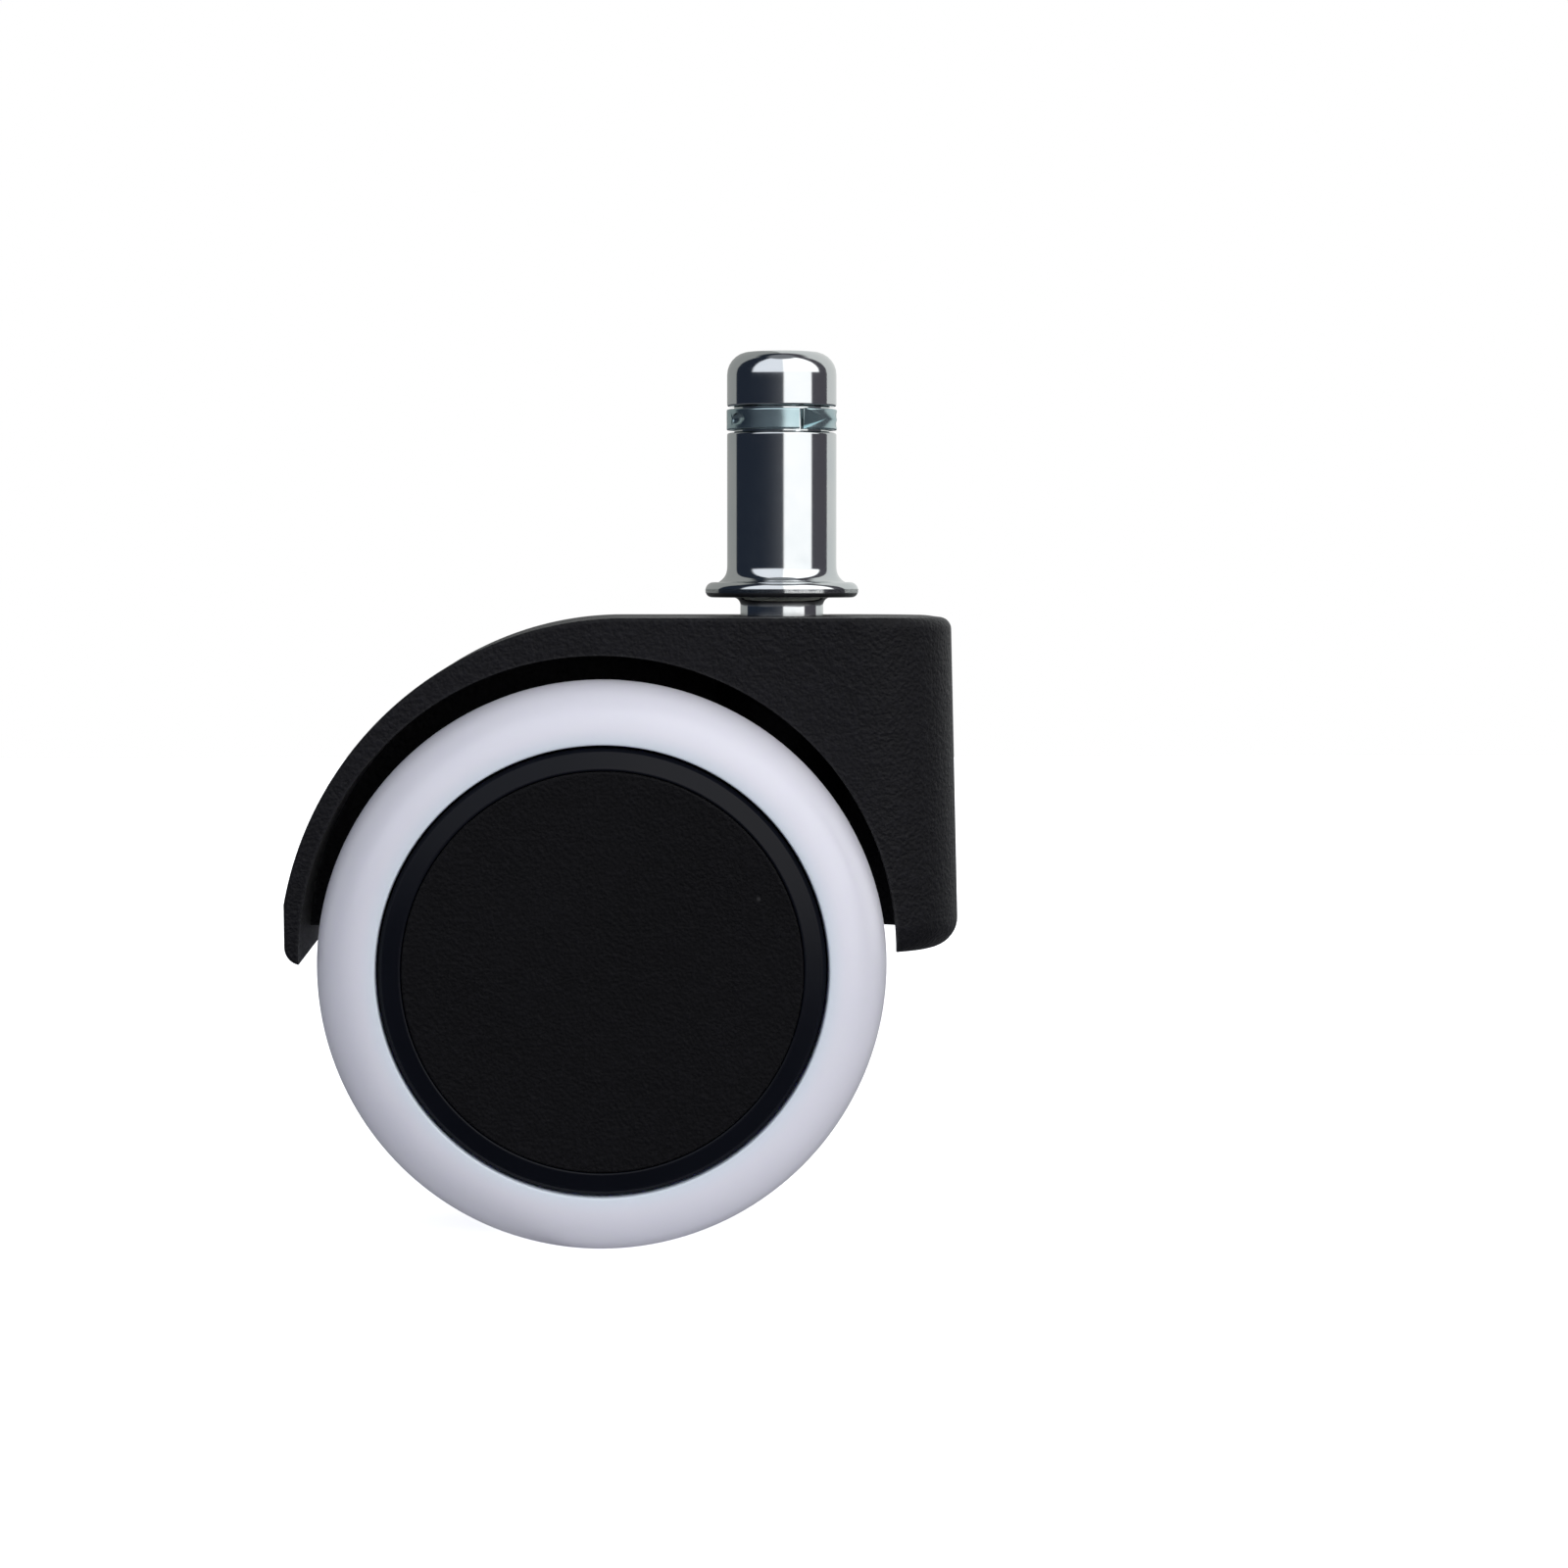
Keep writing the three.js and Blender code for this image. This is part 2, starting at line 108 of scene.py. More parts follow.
def arc(x, y, r, start, end, steps):
    """Points on a circle between two angles in degrees, both ends included."""
    angles = [math.radians(start + (end - start) * i / steps) for i in range(steps + 1)]
    return [(x + r * math.cos(a), y + r * math.sin(a)) for a in angles]


def fillet(before, corner, after, r, steps, support=0.3):
    """The round that replaces a corner, with a supporting point on each straight beside it."""
    c = Vector(corner)
    to_before = (Vector(before) - c).normalized()
    to_after = (Vector(after) - c).normalized()
    half = to_before.angle(to_after) / 2
    reach = r / math.tan(half)
    centre = c + (to_before + to_after).normalized() * (r / math.sin(half))
    start = c + to_before * reach - centre
    turn = start.angle_signed(c + to_after * reach - centre)
    points = [centre + Matrix.Rotation(-turn * i / steps, 2) @ start for i in range(steps + 1)]
    first = c + to_before * (reach + support * r)
    last = c + to_after * (reach + support * r)
    return [tuple(p) for p in (first, *points, last)]


def rounded(corners, closed=False, steps=5):
    """An outline from corners (x, y) or (x, y, round), with its rounds drawn."""
    count = len(corners)
    points = []
    for i, corner in enumerate(corners):
        r = corner[2] if len(corner) > 2 else 0
        inside = closed or 0 < i < count - 1
        if r and inside:
            before, after = corners[i - 1][:2], corners[(i + 1) % count][:2]
            points += fillet(before, corner[:2], after, r, steps)
        else:
            points.append(tuple(corner[:2]))
    return points


def turned(name, profile, place, sides=144, closed=True):
    """A solid of revolution from a profile of (radius, along). An open one ends on the axis."""
    count = len(profile)
    angles = [2 * math.pi * i / sides for i in range(sides)]
    verts = [place(r, a, along) for a in angles for r, along in profile]
    last = count if closed else count - 1
    faces = []
    for i in range(sides):
        here, there = i * count, (i + 1) % sides * count
        for j in range(last):
            k = (j + 1) % count
            faces.append((here + j, there + j, there + k, here + k))
    return make_object(name, verts, faces)


def prism(name, first, second):
    """A solid between two matching outlines, its walls joining their points one to one."""
    count = len(first)
    walls = [(i, (i + 1) % count, count + (i + 1) % count, count + i) for i in range(count)]
    ends = [tuple(range(count)), tuple(range(2 * count - 1, count - 1, -1))]
    return make_object(name, first + second, walls + ends)


def slab(name, outline, low, high):
    """An X and Z outline carried across the wheels, from one place to another."""
    first = [(x, low, z) for x, z in outline]
    second = [(x, high, z) for x, z in outline]
    return prism(name, first, second)


def post(name, outline, low, high):
    """An X and Y outline raised from one height to another."""
    first = [(x, y, low) for x, y in outline]
    second = [(x, y, high) for x, y in outline]
    return prism(name, first, second)


def settle(made):
    """Turns an object's modifiers into plain mesh."""
    graph = bpy.context.evaluated_depsgraph_get()
    graph.update()
    mesh = bpy.data.meshes.new_from_object(made.evaluated_get(graph))
    made.modifiers.clear()
    made.data = mesh
    return made


def combine(base, operation, *others):
    """Joins, cuts or overlaps a piece with others, which are used up."""
    for other in others:
        step = base.modifiers.new("combine", "BOOLEAN")
        step.operation = operation
        step.solver = "EXACT"
        step.object = other
        settle(base)
        bpy.data.objects.remove(other)
    return base


def soften_edges(made, width, segments=3, angle=28):
    """Rounds every sharp edge a little and keeps the flat faces flat in the shading."""
    bevel = made.modifiers.new("soften", "BEVEL")
    bevel.width = width * MM
    bevel.segments = segments
    bevel.limit_method = "ANGLE"
    bevel.angle_limit = math.radians(angle)
    bevel.miter_outer = "MITER_ARC"
    for face in made.data.polygons:
        face.use_smooth = True
    weight = made.modifiers.new("shade", "WEIGHTED_NORMAL")
    weight.keep_sharp = True
    weight.weight = 90
    return settle(made)


def shade(made, sharp_angle=40):
    """Smooth shading that breaks at edges sharper than the angle."""
    made.data.shade_smooth()
    made.data.set_sharp_from_angle(angle=math.radians(sharp_angle))


def hand_over(made, material, body, slot, *nodes):
    """Gives a finished piece its material and its body, and hides the CAD nodes it stands for; the
    finish named by slot is not used.
    """
    made.data.materials.clear()
    made.data.materials.append(material)
    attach(made, body)
    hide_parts(*nodes)
    return made


# ---------------------------------------------------------------- node tools


class Rule:
    """Arithmetic on a node tree's sockets: every operation adds a Math node."""

    def __init__(self, tree, socket):
        self.tree = tree
        self.socket = socket

    def math(self, operation, *others):
        node = self.tree.nodes.new("ShaderNodeMath")
        node.operation = operation
        for i, value in enumerate((self, *others)):
            feed(self.tree, node.inputs[i], value)
        return Rule(self.tree, node.outputs[0])

    def __add__(self, other):
        return self.math("ADD", other)

    def __sub__(self, other):
        return self.math("SUBTRACT", other)

    def __mul__(self, other):
        return self.math("MULTIPLY", other)

    def __truediv__(self, other):
        return self.math("DIVIDE", other)

    def __pow__(self, other):
        return self.math("POWER", other)

    def __abs__(self):
        return self.math("ABSOLUTE")

    def within(self, low, high):
        """The value, kept between two limits."""
        return self.math("MAXIMUM", low).math("MINIMUM", high)


def feed(tree, socket, value):
    """Sets a socket to a plain value, or links it to another socket."""
    if isinstance(value, Rule):
        value = value.socket
    if isinstance(value, bpy.types.NodeSocket):
        tree.links.new(value, socket)
    else:
        socket.default_value = value


def add_node(tree, kind, inputs=None, **settings):
    """Adds a node, with its settings and its inputs by name or number."""
    node = tree.nodes.new(kind)
    for key, value in settings.items():
        setattr(node, key, value)
    for key, value in (inputs or {}).items():
        feed(tree, node.inputs[key], value)
    return node


def new_group(name, kind, inputs, outputs):
    """A node group with named inputs (name, type, default) and outputs (name, type)."""
    tree = bpy.data.node_groups.new(name, kind)
    for label, socket_kind, default in inputs:
        socket = tree.interface.new_socket(name=label, in_out="INPUT", socket_type=socket_kind)
        if default is not None:
            socket.default_value = default
    for label, socket_kind in outputs:
        tree.interface.new_socket(name=label, in_out="OUTPUT", socket_type=socket_kind)
    start = tree.nodes.new("NodeGroupInput")
    end = tree.nodes.new("NodeGroupOutput")
    return tree, start, end


FLOAT = "NodeSocketFloat"
WHOLE = "NodeSocketInt"
VECTOR = "NodeSocketVector"
GEOMETRY = "NodeSocketGeometry"
MATERIAL = "NodeSocketMaterial"

# ---------------------------------------------------------------- shader groups


def noise(tree, vector, scale, detail=3.0, rough=0.55):
    """A noise pattern's value, around 0.5."""
    node = add_node(
        tree,
        "ShaderNodeTexNoise",
        {"Vector": vector, "Scale": scale, "Detail": detail, "Roughness": rough},
    )
    return Rule(tree, node.outputs["Fac"])


def moulded_grain_group():
    """The fine pebbled grain of a spark-eroded mould: a height, and a mask of its peaks."""
    inputs = [("Vector", VECTOR, None), ("Scale", FLOAT, 3000.0), ("Coarse", FLOAT, 0.35)]
    outputs = [("Height", FLOAT), ("Peaks", FLOAT)]
    tree, start, end = new_group("moulded_grain", "ShaderNodeTree", inputs, outputs)
    vector = start.outputs["Vector"]
    scale = Rule(tree, start.outputs["Scale"])
    pebbles = add_node(
        tree,
        "ShaderNodeTexVoronoi",
        {"Vector": vector, "Scale": scale.socket, "Randomness": 1.0},
        feature="SMOOTH_F1",
    )
    pits = Rule(tree, pebbles.outputs["Distance"])
    fine = noise(tree, vector, (scale * 1.7).socket)
    broad = noise(tree, vector, (scale * 0.22).socket)
    height = (fine * 0.6 + pits * 0.5) + (broad - 0.5) * Rule(tree, start.outputs["Coarse"])
    feed(tree, end.inputs["Height"], height)
    feed(tree, end.inputs["Peaks"], (height - 0.45).within(0.0, 0.4) * 2.5)
    return tree


def edge_wear_group():
    """A mask that is high where an outer edge has been rubbed."""
    inputs = [("Vector", VECTOR, None), ("Radius", FLOAT, 0.0005), ("Patchiness", FLOAT, 0.6)]
    tree, start, end = new_group("edge_wear", "ShaderNodeTree", inputs, [("Mask", FLOAT)])
    softened = add_node(tree, "ShaderNodeBevel", {"Radius": start.outputs["Radius"]}, samples=6)
    surface = tree.nodes.new("ShaderNodeNewGeometry")
    across = add_node(
        tree,
        "ShaderNodeVectorMath",
        {0: softened.outputs["Normal"], 1: surface.outputs["Normal"]},
        operation="DOT_PRODUCT",
    )
    turned_away = (Rule(tree, across.outputs["Value"]) * -1.0 + 1.0) * 6.0
    patches = noise(tree, start.outputs["Vector"], 260.0, 4.0)
    patchy = (patches - 0.35) * 2.2 * Rule(tree, start.outputs["Patchiness"])
    patchy = patchy + (Rule(tree, start.outputs["Patchiness"]) * -1.0 + 1.0)
    feed(tree, end.inputs["Mask"], turned_away.within(0.0, 1.0) * patchy.within(0.0, 1.0))
    return tree


def handling_group():
    """Slow variation from moulding and handling, and sparse small specks of dust."""
    inputs = [("Vector", VECTOR, None), ("Scale", FLOAT, 90.0), ("Speck Scale", FLOAT, 700.0)]
    outputs = [("Cloud", FLOAT), ("Specks", FLOAT)]
    tree, start, end = new_group("handling", "ShaderNodeTree", inputs, outputs)
    vector = start.outputs["Vector"]
    cloud = noise(tree, vector, start.outputs["Scale"], 5.0, 0.6)
    dots = add_node(
        tree, "ShaderNodeTexVoronoi", {"Vector": vector, "Scale": start.outputs["Speck Scale"]}
    )
    chosen = Rule(tree, dots.outputs["Color"]).math("GREATER_THAN", 0.93)
    near = (Rule(tree, dots.outputs["Distance"]) * -5.0 + 1.0).within(0.0, 1.0)
    feed(tree, end.inputs["Cloud"], cloud)
    feed(tree, end.inputs["Specks"], near * chosen)
    return tree


def turning_marks_group():
    """Fine rings left by turning a piece about the Z axis, and a slow drift in their depth."""
    inputs = [("Vector", VECTOR, None), ("Pitch", FLOAT, 9000.0), ("Wander", FLOAT, 40.0)]
    outputs = [("Height", FLOAT), ("Drift", FLOAT)]
    tree, start, end = new_group("turning_marks", "ShaderNodeTree", inputs, outputs)
    parts = add_node(tree, "ShaderNodeSeparateXYZ", {0: start.outputs["Vector"]})
    drift = noise(tree, start.outputs["Vector"], 220.0, 3.0)
    along = Rule(tree, parts.outputs["Z"]) * Rule(tree, start.outputs["Pitch"])
    wobble = Rule(tree, parts.outputs["X"]) * Rule(tree, start.outputs["Wander"])
    lines = add_node(
        tree, "ShaderNodeCombineXYZ", {"X": wobble.socket, "Y": 0.0, "Z": along.socket}
    )
    rings = noise(tree, lines.outputs[0], 1.0, 2.0)
    feed(tree, end.inputs["Height"], rings * (drift + 0.2))
    feed(tree, end.inputs["Drift"], drift)
    return tree


GRAIN = moulded_grain_group()
WEAR = edge_wear_group()
HANDLING = handling_group()
TURNING = turning_marks_group()

# ---------------------------------------------------------------- materials


def new_material(name):
    """A node material with its Principled shader, and Object coordinates for its patterns."""
    material = bpy.data.materials.new(name)
    material.use_nodes = True
    tree = material.node_tree
    shader = tree.nodes["Principled BSDF"]
    place = tree.nodes.new("ShaderNodeTexCoord").outputs["Object"]
    return material, tree, shader, place


def use_group(tree, group, inputs):
    """Adds a shared group to a material's tree."""
    return add_node(tree, "ShaderNodeGroup", inputs, node_tree=group)


def mix_rgb(tree, factor, first, second):
    """Mixes two colours by a factor."""
    node = tree.nodes.new("ShaderNodeMix")
    node.data_type = "RGBA"
    feed(tree, node.inputs[0], factor)
    feed(tree, node.inputs[6], first)
    feed(tree, node.inputs[7], second)
    return node.outputs[2]


def bump(tree, shader, height, strength, distance):
    """Feeds a height into the shader's normal."""
    node = add_node(
        tree, "ShaderNodeBump", {"Height": height, "Strength": strength, "Distance": distance}
    )
    feed(tree, shader.inputs["Normal"], node.outputs["Normal"])


def grained_plastic(name, colour, worn, roughness, gloss, grain_scale, grain_depth, wear_radius):
    """Moulded nylon with a pebbled grain, lighter where its edges are rubbed."""
    material, tree, shader, place = new_material(name)
    shader.inputs["Specular IOR Level"].default_value = gloss
    shader.inputs["Sheen Weight"].default_value = 0.05
    shader.inputs["Sheen Roughness"].default_value = 0.4
    grain = use_group(tree, GRAIN, {"Vector": place, "Scale": grain_scale})
    wear = use_group(tree, WEAR, {"Vector": place, "Radius": wear_radius})
    handling = use_group(tree, HANDLING, {"Vector": place})
    cloud = Rule(tree, handling.outputs["Cloud"])
    peaks = Rule(tree, grain.outputs["Peaks"])
    light = tuple(c * 3.0 for c in colour[:3]) + (1.0,)
    toned = mix_rgb(tree, (peaks * 0.5 + (cloud - 0.4) * 0.4).within(0, 1).socket, colour, light)
    rubbed = mix_rgb(tree, (Rule(tree, wear.outputs["Mask"]) * 0.55).socket, toned, worn)
    specks = (Rule(tree, handling.outputs["Specks"]) * 0.25).socket
    feed(tree, shader.inputs["Base Color"], mix_rgb(tree, specks, rubbed, (0.2, 0.2, 0.2, 1)))
    rough = (cloud - 0.5) * 0.16 + roughness - peaks * 0.05
    feed(tree, shader.inputs["Roughness"], rough.within(0.1, 1.0))
    bump(tree, shader, grain.outputs["Height"], 1.0, grain_depth)
    return material


def satin_plastic(name, colour, worn, roughness, gloss):
    """Nearly smooth nylon with a soft gloss, faint moulding drag and handling marks."""
    material, tree, shader, place = new_material(name)
    shader.inputs["Specular IOR Level"].default_value = gloss
    wear = use_group(tree, WEAR, {"Vector": place, "Radius": 0.0003, "Patchiness": 0.8})
    handling = use_group(tree, HANDLING, {"Vector": place, "Scale": 160.0})
    cloud = Rule(tree, handling.outputs["Cloud"])
    light = tuple(c * 1.6 for c in colour[:3]) + (1.0,)
    toned = mix_rgb(tree, cloud.socket, colour, light)
    rubbed = mix_rgb(tree, (Rule(tree, wear.outputs["Mask"]) * 0.4).socket, toned, worn)
    feed(tree, shader.inputs["Base Color"], rubbed)
    feed(tree, shader.inputs["Roughness"], ((cloud - 0.5) * 0.14 + roughness).within(0.05, 1))
    fine = noise(tree, place, 1500.0, 2.0)
    bump(tree, shader, (fine + cloud * 2.0).socket, 0.25, 0.00002)
    return material


def steel(name, colour, tint, roughness, pitch, depth):
    """Plated or bare steel: turning marks, a drifting tint and a few duller patches."""
    material, tree, shader, place = new_material(name)
    marks = use_group(tree, TURNING, {"Vector": place, "Pitch": pitch})
    handling = use_group(tree, HANDLING, {"Vector": place, "Scale": 420.0})
    wear = use_group(tree, WEAR, {"Vector": place, "Radius": 0.0002})
    drift = Rule(tree, marks.outputs["Drift"])
    cloud = Rule(tree, handling.outputs["Cloud"])
    toned = mix_rgb(tree, ((drift - 0.35) * 2.0).within(0, 1).socket, colour, tint)
    bright = tuple(min(1.0, c * 1.15) for c in colour[:3]) + (1.0,)
    rubbed = mix_rgb(tree, (Rule(tree, wear.outputs["Mask"]) * 0.5).socket, toned, bright)
    feed(tree, shader.inputs["Base Color"], rubbed)
    shader.inputs["Metallic"].default_value = 1.0
    rough = (cloud - 0.5).within(0, 1) * 0.12 + roughness
    feed(tree, shader.inputs["Roughness"], (rough + (drift - 0.5) * 0.04).within(0.03, 1))
    bump(tree, shader, marks.outputs["Height"], 0.5, depth)
    return material


def tread_urethane(name):
    """Pale lavender urethane: slightly translucent, bluer by the core, faintly marked."""
    material, tree, shader, place = new_material(name)
    handling = use_group(tree, HANDLING, {"Vector": place, "Scale": 110.0, "Speck Scale": 420.0})
    centred = add_node(
        tree, "ShaderNodeMapping", {"Vector": place, "Location": (-AXLE_X * MM, 0, -AXLE_Z * MM)}
    )
    parts = add_node(tree, "ShaderNodeSeparateXYZ", {0: centred.outputs["Vector"]})
    x = Rule(tree, parts.outputs["X"])
    z = Rule(tree, parts.outputs["Z"])
    radius = (x * x + z * z).math("SQRT") / MM
    by_core = ((radius - CORE_FACE_R) * -0.55 + 1.0).within(0, 1) ** 1.5
    cloud = Rule(tree, handling.outputs["Cloud"])
    toned = mix_rgb(tree, cloud.socket, (0.72, 0.72, 0.80, 1), (0.78, 0.77, 0.84, 1))
    cooled = mix_rgb(tree, (by_core * 0.7).socket, toned, (0.62, 0.74, 0.84, 1))
    soiled = (Rule(tree, handling.outputs["Specks"]) * 0.12).socket
    feed(tree, shader.inputs["Base Color"], mix_rgb(tree, soiled, cooled, (0.3, 0.3, 0.34, 1)))
    feed(tree, shader.inputs["Roughness"], ((cloud - 0.5) * 0.12 + 0.3).within(0.1, 1))
    shader.inputs["Subsurface Weight"].default_value = 0.25
    shader.inputs["Subsurface Radius"].default_value = (1.0, 0.9, 1.1)
    shader.inputs["Subsurface Scale"].default_value = 0.002
    fine = noise(tree, place, 900.0, 3.0)
    bump(tree, shader, (fine + cloud).socket, 0.2, 0.00004)
    return material


# ---------------------------------------------------------------- sizes of the pieces

CORE_FACE_R = 19.3
CAP_R = 17.28
CAP_SEAT_R = 17.34
CAP_FACE = 24.5
CAP_CROWN = 0.08
BUSH_R = 4.6
AXLE_R = 3.0

hood_nylon = grained_plastic(
    "hood_nylon",
    colour=(0.0038, 0.0037, 0.0052, 1),
    worn=(0.03, 0.03, 0.032, 1),
    roughness=0.46,
    gloss=0.14,
    grain_scale=2600.0,
    grain_depth=0.00018,
    wear_radius=0.0005,
)
cap_nylon = grained_plastic(
    "cap_nylon",
    colour=(0.0026, 0.0025, 0.0033, 1),
    worn=(0.02, 0.02, 0.022, 1),
    roughness=0.52,
    gloss=0.08,
    grain_scale=3000.0,
    grain_depth=0.00014,
    wear_radius=0.0003,
)
core_nylon = satin_plastic(
    "core_nylon",
    colour=(0.002, 0.0025, 0.005, 1),
    worn=(0.03, 0.03, 0.04, 1),
    roughness=0.3,
    gloss=0.15,
)
bearing_nylon = satin_plastic(
    "bearing_nylon",
    colour=(0.55, 0.54, 0.48, 1),
    worn=(0.7, 0.7, 0.66, 1),
    roughness=0.42,
    gloss=0.5,
)
stem_zinc = steel(
    "stem_zinc",
    colour=(0.64, 0.655, 0.66, 1),
    tint=(0.58, 0.62, 0.64, 1),
    roughness=0.1,
    pitch=9000.0,
    depth=0.000002,
)
spring_steel = steel(
    "spring_steel",
    colour=(0.50, 0.62, 0.65, 1),
    tint=(0.34, 0.48, 0.51, 1),
    roughness=0.24,
    pitch=5000.0,
    depth=0.000005,
)
plain_steel = steel(
    "plain_steel",
    colour=(0.60, 0.61, 0.62, 1),
    tint=(0.52, 0.54, 0.56, 1),
    roughness=0.28,
    pitch=4000.0,
    depth=0.000008,
)
tyre_urethane = tread_urethane("tyre_urethane")

# ---------------------------------------------------------------- stem


SHANK_R = 5.0
JOURNAL_R = 3.8
SNAP_GROOVE = (3.1, -23.9, -22.6)
FLANGE_R = 7.0
FLANGE_FOOT = -1.4
FLARE_OUT = 0.8
FLARE_HEIGHT = 2.0
FLARE_STEPS = 16
RING_GROOVE = (4.35, 13.6, 16.0)


def shank_flare():
    """The curve by which the shank spreads onto the flange, from its foot up."""
    steps = [i / FLARE_STEPS for i in range(FLARE_STEPS + 1)]
    return [(SHANK_R + FLARE_OUT * (1 - t) ** 4, FLARE_HEIGHT * t) for t in steps]


def groove(outside, section, edge, mouth):
    """The corners of a groove: its radius and its two ends, cut into a pin of a given radius."""
    floor, low, high = section
    return [
        (outside, low, mouth),
        (floor, low, edge),
        (floor, high, edge),
        (outside, high, mouth),
    ]


def make_stem_pin():
    """The plated pin: journal, flange, shank with its ring groove, and rounded tip."""
    top = pin_high.z
    corners = [
        (0, pin_low.z),
        (JOURNAL_R, pin_low.z, 0.7),
        *groove(JOURNAL_R, SNAP_GROOVE, 0.15, 0.15),
        (JOURNAL_R, FLANGE_FOOT, 0.7),
        (FLANGE_R, FLANGE_FOOT, 0.6),
        (FLANGE_R, 0.0, 0.75),
        *shank_flare(),
        *groove(SHANK_R, RING_GROOVE, 0.12, 0.18),
        (SHANK_R, top, 2.1),
        (0, top),
    ]
    pin = turned("plated_stem", rounded(corners, steps=7), on_stem, 160, closed=False)
    shade(pin, 50)
    return hand_over(pin, stem_zinc, "stem", "stem_zinc", "stem_pin")


RING_WALL = 0.45
RING_EDGE = 0.13
RING_START = 320
RING_END = 646
RING_NOTCH = 28
DIMPLES = 3
FIRST_DIMPLE = 36
DIMPLE_STEP = 89


def split_ring(name, section, start, end, notch, steps=120):
    """A sprung ring: a section of (radius, height) swept round the stem, open between its ends.

    The first end is notched: halfway up it starts at the start angle, and its upper and lower
    edges reach notch degrees further into the gap.
    """
    count = len(section)
    heights = [z for _, z in section]
    middle, half = (max(heights) + min(heights)) / 2, (max(heights) - min(heights)) / 2
    verts = []
    for i in range(steps + 1):
        t = i / steps
        for r, z in section:
            first = start - notch * abs(z - middle) / half
            angle = math.radians(first * (1 - t) + end * t)
            verts.append(on_stem(r, angle, z))
    faces = []
    for i in range(steps):
        here, there = i * count, (i + 1) * count
        for j in range(count):
            k = (j + 1) % count
            faces.append((here + j, there + j, there + k, here + k))
    faces.append(tuple(range(count)))
    faces.append(tuple(range(steps * count + count - 1, steps * count - 1, -1)))
    return make_object(name, verts, faces)


def make_grip_ring():
    """The split ring that grips the socket, with three pressed dimples."""
    low, high = box_mm("grip_ring")
    outer = high.x
    inner = outer - RING_WALL
    middle = (low.z + high.z) / 2
    corners = [
        (inner, low.z, RING_EDGE),
        (outer, low.z, RING_EDGE),
        (outer, middle),
        (outer, high.z, RING_EDGE),
        (inner, high.z, RING_EDGE),
        (inner, middle),
    ]
    section = rounded(corners, closed=True, steps=4)
    ring = split_ring("sprung_grip_ring", section, RING_START, RING_END, RING_NOTCH)
    sizes = {
        "Count": DIMPLES,
        "Start Angle": math.radians(FIRST_DIMPLE),
        "Step Angle": math.radians(DIMPLE_STEP),
        "Reach": (outer + 0.15) * MM,
        "Along": middle * MM,
        "Size": (0.4 * MM, 1.0 * MM, 0.6 * MM),
        "Material": spring_steel,
    }
    apply_tree(ring, ring_of_dimples_tree(), sizes)
    shade(ring, 45)
    return hand_over(ring, spring_steel, "grip_ring", "spring_steel", "grip_ring")


# ---------------------------------------------------------------- housing

SIDE_EDGE = 0.35
BACK_PLAN_ROUND = 9.0
BACK_FOOT_ROUND = 2.6
BACK_TOP_ROUND = 1.1
BACK_LEAN = 0.7
TIP_ROUND = 1.6
ARC_X = -14.5
ARC_R = 30.35
TIP_X = -44.35
BACK_FOOT = -32.7
SKIN = 2.0
RIB_HALF = 0.8
WEB_HALF = 2.0
WEB_FOOT = -31.2
WEB_OVERLAP = 0.9
WELL_X = AXLE_X - 0.3
WELL_Z = AXLE_Z + 0.8
WELL_R = 26.3
STEM_BOSS_R = 6.5
STEM_BOSS_FOOT = -28.8
SOCKET_R = 4.95
SOCKET_FLOOR = -27.3
AXLE_BOSS_R = 6.5
AXLE_BOSS_HALF = 6.6
AXLE_HOLE_R = 3.2
PAST_NOSE = -60
PAST_FOOT = -70
PAST_SIDE = 30


def hood_outline(back_shift, inset):
    """The hood's side outline at one place across it, before its well is cut.

    back_shift moves the back wall forward and inset draws the whole outline in.
    """
    shift = Vector((-back_shift, 0))
    foot = Vector((hood_high.x, BACK_FOOT)) + shift
    top = Vector((hood_high.x - BACK_LEAN, hood_high.z)) + shift
    points = [
        (AXLE_X, BACK_FOOT),
        *fillet((AXLE_X, BACK_FOOT), foot, top, BACK_FOOT_ROUND, 10, 0)[1:-1],
        *fillet(foot, top, (-50, hood_high.z), BACK_TOP_ROUND, 8, 0)[1:-1],
        *arc(ARC_X, hood_high.z - ARC_R, ARC_R, 90, 170, 64),
        *fillet((TIP_X, 0), (TIP_X, AXLE_Z), (0, AXLE_Z), TIP_ROUND, 10, 0)[1:-1],
        (AXLE_X - 1.2, AXLE_Z),
    ]
    return drawn_in(points, inset)


def drawn_in(points, inset):
    """A closed outline with every side moved in by the same distance."""
    count = len(points)
    moved = []
    for i in range(count):
        here = Vector(points[i])
        before = (here - Vector(points[i - 1])).normalized()
        after = (Vector(points[(i + 1) % count]) - here).normalized()
        in_before = Vector((-before.y, before.x))
        in_after = Vector((-after.y, after.x))
        both = in_before + in_after
        moved.append(tuple(here + both * (2 * inset / both.length_squared)))
    return moved


def hood_sections():
    """Places across the hood, with the back wall's shift and the outline's inset at each."""
    side = hood_high.y
    flat = side - BACK_PLAN_ROUND
    angles = [*range(0, 72, 6), *range(72, 91, 3)]
    half = []
    for degrees in angles:
        a = math.radians(degrees)
        y = flat + BACK_PLAN_ROUND * math.sin(a)
        into_edge = max(0.0, y - (side - SIDE_EDGE))
        inset = SIDE_EDGE - math.sqrt(max(0.0, SIDE_EDGE**2 - into_edge**2))
        half.append((y, BACK_PLAN_ROUND * (1 - math.cos(a)), inset))
    return [(-y, shift, inset) for y, shift, inset in reversed(half)] + half


